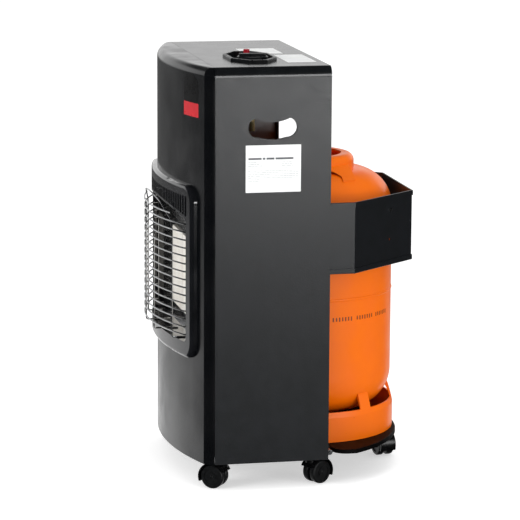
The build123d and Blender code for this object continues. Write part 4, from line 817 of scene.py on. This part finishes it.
@dataclass
class Rear:
    """Guard band, folding tray and its hinges."""

    def dress(self) -> None:
        """Finishes the nodes behind the cabinet."""
        dress(Look.POWDER_COAT, ("rear_guard",))
        dress(Look.NICKEL_PLATE, ("guard_fixings", "tray_pins"))
        # The tray's matt paint carries painted shade from the bottle's shadow.
        dress(Look.MATT_PAINT, ("tray",))
        dress(Look.ZINC_PLATE, ("hinge_brackets",))


@dataclass
class Casters:
    """Five twin-wheel casters and their plates."""

    names: tuple[str, ...] = ("front_left", "front_right", "rear_left", "rear_right", "tray")

    def dress(self) -> None:
        """Finishes the nodes of the casters."""
        dress(Look.ZINC_PLATE, ("caster_plates", "tray_caster_plate"))
        dress(Look.NICKEL_PLATE, ("caster_plate_screws",))
        for name in self.names:
            dress(Look.MOULDED_NYLON, (f"caster_{name}_hood",))
            dress(Look.NICKEL_PLATE, (f"caster_{name}_pins",))
            dress(Look.MOULDED_POLYURETHANE, (f"caster_{name}_wheel_a", f"caster_{name}_wheel_b"))


# ---------------------------------------------------------------- studio
@dataclass
class Lamp:
    """A soft rectangular lamp.

    Attributes:
        name: Its name.
        place: Where it hangs, in metres.
        aim: Point that it faces.
        size: Its width and height, in metres.
        watts: Its power.
        mirrored: Whether gloss shows it.
    """

    name: str
    place: tuple[float, float, float]
    aim: tuple[float, float, float]
    size: tuple[float, float]
    watts: float
    mirrored: bool = True

    def build(self) -> None:
        """Hangs the lamp and aims it."""
        data = bpy.data.lights.new(self.name, "AREA")
        data.shape = "RECTANGLE"
        data.size, data.size_y = self.size
        data.energy = self.watts
        lamp = bpy.data.objects.new(self.name, data)
        bpy.context.scene.collection.objects.link(lamp)
        lamp.location = self.place
        lamp.visible_glossy = self.mirrored
        ahead = Vector(self.aim) - lamp.location
        lamp.rotation_euler = ahead.to_track_quat("-Z", "Y").to_euler()


@dataclass(frozen=True)
class Fade:
    """A brightness that changes smoothly with the height that a line of sight points at.

    Attributes:
        low: Height where the change starts, as the sine of the angle above the horizon.
        high: Height where it ends.
        below: Brightness under it.
        above: Brightness over it.
    """

    low: float
    high: float
    below: float
    above: float


@dataclass
class Studio:
    """Pale floor, soft light and the camera at the photograph's angle.

    Attributes:
        floor_half: Half the side of the square floor, in metres.
        floor_colour: Its colour.
        floor_glow: Light of its own that the camera and gloss see, so that it looks white.
        floor_roughness: Its roughness.
        world_level: Strength of the white surroundings as a light.
        backdrop: Direction of the bright wall that gloss shows, on the heater's right.
        backdrop_edge: Cosines of the angle from that direction over which the wall ends.
        dark_level: Strength of the dark room round that wall.
        wall_foot: The wall dims below the horizon.
        wall_head: It ends under a dark ceiling.
        table: A pale table top lies below it.
        camera_place: Where the camera stands, in metres.
        camera_aim: Point that it faces.
        camera_roll: Its turn about its line of sight, in degrees.
        camera_reach: How far it sees, in metres.
        lens_mm: Its focal length.
        sensor_mm: Width of its sensor.
        lamps: The lamps.
    """

    floor_half: float = 22.0
    floor_colour: str = "#e6e6e6"
    floor_glow: float = 0.5
    floor_roughness: float = 0.9
    world_level: float = 0.75
    backdrop: tuple[float, float, float] = (-1.0, 0.0, 0.0)
    backdrop_edge: tuple[float, float] = (0.60, 0.66)
    dark_level: float = 0.01
    wall_foot: Fade = Fade(-0.10, 0.0, 0.13, 1.0)
    wall_head: Fade = Fade(0.28, 0.42, 1.0, 0.05)
    table: Fade = Fade(-0.24, -0.14, 0.95, 0.0)
    camera_place: tuple[float, float, float] = (4.7003, -1.03705, 1.2464)
    camera_aim: tuple[float, float, float] = (0.0, -0.02325, 0.3527)
    camera_roll: float = 0.31
    camera_reach: float = 60.0
    lens_mm: float = 195.9
    sensor_mm: float = 36.0
    lamps: tuple[Lamp, ...] = (
        Lamp("lamp_by_camera", (4.2, 1.0, 0.3), (0.2, 0.0, 0.42), (1.2, 0.36), 22.0),
        Lamp("lamp_at_right", (3.0, 2.3, 0.9), (0.0, 0.1, 0.35), (1.2, 1.2), 24.0),
        Lamp("lamp_at_front", (1.4, -3.4, 1.0), (0.0, -0.1, 0.35), (1.6, 1.6), 92.0, False),
        Lamp("lamp_above", (0.3, 0.2, 3.2), (0.0, 0.0, 0.7), (1.4, 1.4), 18.0, False),
    )

    def build_floor(self) -> None:
        """Pale floor that looks white but keeps the object's shadow."""
        mesh = bpy.data.meshes.new("floor")
        half = self.floor_half
        corners = [(-half, -half, 0), (half, -half, 0), (half, half, 0), (-half, half, 0)]
        mesh.from_pydata(corners, [], [(0, 1, 2, 3)])
        material = bpy.data.materials.new("studio_floor")
        material.use_nodes = True
        tree = material.node_tree
        tree.nodes.clear()
        rays = add_node(tree, "ShaderNodeLightPath")
        seen = add_node(tree, "ShaderNodeMath", {
            0: rays.outputs["Is Camera Ray"], 1: rays.outputs["Is Glossy Ray"],
        }, operation="MAXIMUM")
        seen = add_node(tree, "ShaderNodeMath", {
            0: seen.outputs[0], 1: rays.outputs["Is Transmission Ray"],
        }, operation="MAXIMUM")
        glow = add_node(tree, "ShaderNodeMath", {0: seen.outputs[0], 1: self.floor_glow},
                        operation="MULTIPLY")
        shader = add_node(tree, "ShaderNodeBsdfPrincipled", {
            "Base Color": linear(self.floor_colour), "Roughness": self.floor_roughness,
            "Specular IOR Level": 0.0,
            "Emission Color": WHITE, "Emission Strength": glow.outputs[0],
        })
        add_node(tree, "ShaderNodeOutputMaterial", {"Surface": shader.outputs["BSDF"]})
        mesh.materials.append(material)
        floor = bpy.data.objects.new("floor", mesh)
        bpy.context.scene.collection.objects.link(floor)
        floor.visible_glossy = False

    def build_world(self) -> None:
        """White surroundings; gloss shows a dark room with a bright wall on the right."""
        world = bpy.data.worlds.new("studio")
        world.use_nodes = True
        tree = world.node_tree
        tree.nodes.clear()
        rays = add_node(tree, "ShaderNodeLightPath")
        toward = add_node(tree, "ShaderNodeTexCoord").outputs["Generated"]
        across = add_node(tree, "ShaderNodeVectorMath", {0: toward, 1: self.backdrop},
                          operation="DOT_PRODUCT")
        facing = add_node(tree, "ShaderNodeMapRange", {
            "Value": across.outputs["Value"], "From Min": self.backdrop_edge[0],
            "From Max": self.backdrop_edge[1],
        }, interpolation_type="SMOOTHSTEP")
        rise = add_node(tree, "ShaderNodeSeparateXYZ", {0: toward}).outputs["Z"]
        foot, head, table = [
            add_node(tree, "ShaderNodeMapRange", {
                "Value": rise, "From Min": fade.low, "From Max": fade.high,
                "To Min": fade.below, "To Max": fade.above,
            }, interpolation_type="SMOOTHSTEP").outputs["Result"]
            for fade in (self.wall_foot, self.wall_head, self.table)
        ]
        wall = add_node(tree, "ShaderNodeMath", {0: foot, 1: head}, operation="MULTIPLY")
        lit = add_node(tree, "ShaderNodeMath", {0: wall.outputs[0], 1: table},
                       operation="MAXIMUM")
        mirror = add_node(tree, "ShaderNodeMath", {
            0: lit.outputs[0], 1: facing.outputs[0], 2: self.dark_level,
        }, operation="MULTIPLY_ADD")
        level = add_node(tree, "ShaderNodeMix", {
            FACTOR: rays.outputs["Is Glossy Ray"],
            NUMBER_A: self.world_level, NUMBER_B: mirror.outputs[0],
        })
        seen = add_node(tree, "ShaderNodeMath", {
            0: rays.outputs["Is Camera Ray"], 1: rays.outputs["Is Transmission Ray"],
        }, operation="MAXIMUM")
        level = add_node(tree, "ShaderNodeMix", {
            FACTOR: seen.outputs[0], NUMBER_A: level.outputs[0], NUMBER_B: 1.0,
        })
        glow = add_node(tree, "ShaderNodeBackground",
                        {"Color": WHITE, "Strength": level.outputs[0]})
        add_node(tree, "ShaderNodeOutputWorld", {"Surface": glow.outputs["Background"]})
        bpy.context.scene.world = world

    def build_camera(self) -> None:
        """Long lens from the heater's left, a little ahead of it and above."""
        data = bpy.data.cameras.new("camera")
        data.lens = self.lens_mm
        data.sensor_width = self.sensor_mm
        data.clip_end = self.camera_reach
        camera = bpy.data.objects.new("camera", data)
        bpy.context.scene.collection.objects.link(camera)
        place, aim = Vector(self.camera_place), Vector(self.camera_aim)
        ahead = (aim - place).normalized()
        right = ahead.cross(Vector((0, 0, 1))).normalized()
        up = right.cross(ahead)
        roll = radians(self.camera_roll)
        right, up = right * cos(roll) + up * sin(roll), up * cos(roll) - right * sin(roll)
        turn = Matrix((right, up, -ahead)).transposed().to_4x4()
        camera.matrix_world = Matrix.Translation(place) @ turn
        bpy.context.scene.camera = camera

    def build(self) -> None:
        """Sets up the whole studio."""
        bpy.context.scene.view_settings.view_transform = "Standard"
        self.build_floor()
        self.build_world()
        for lamp in self.lamps:
            lamp.build()
        self.build_camera()


def main() -> None:
    """Builds the scene round the frame."""
    logging.basicConfig(level=logging.INFO, format="%(message)s")
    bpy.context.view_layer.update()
    Studio().build()
    cabinet = Cabinet()
    cabinet.dress()
    cabinet.build_side_label()
    cabinet.build_top_labels()
    cabinet.build_sticker()
    RadiantFront().dress()
    GasTrain().dress()
    Controls().dress()
    bottle = Bottle()
    bottle.dress()
    bottle.build_stencil()
    Rear().dress()
    Casters().dress()


if __name__ == "__main__":
    main()
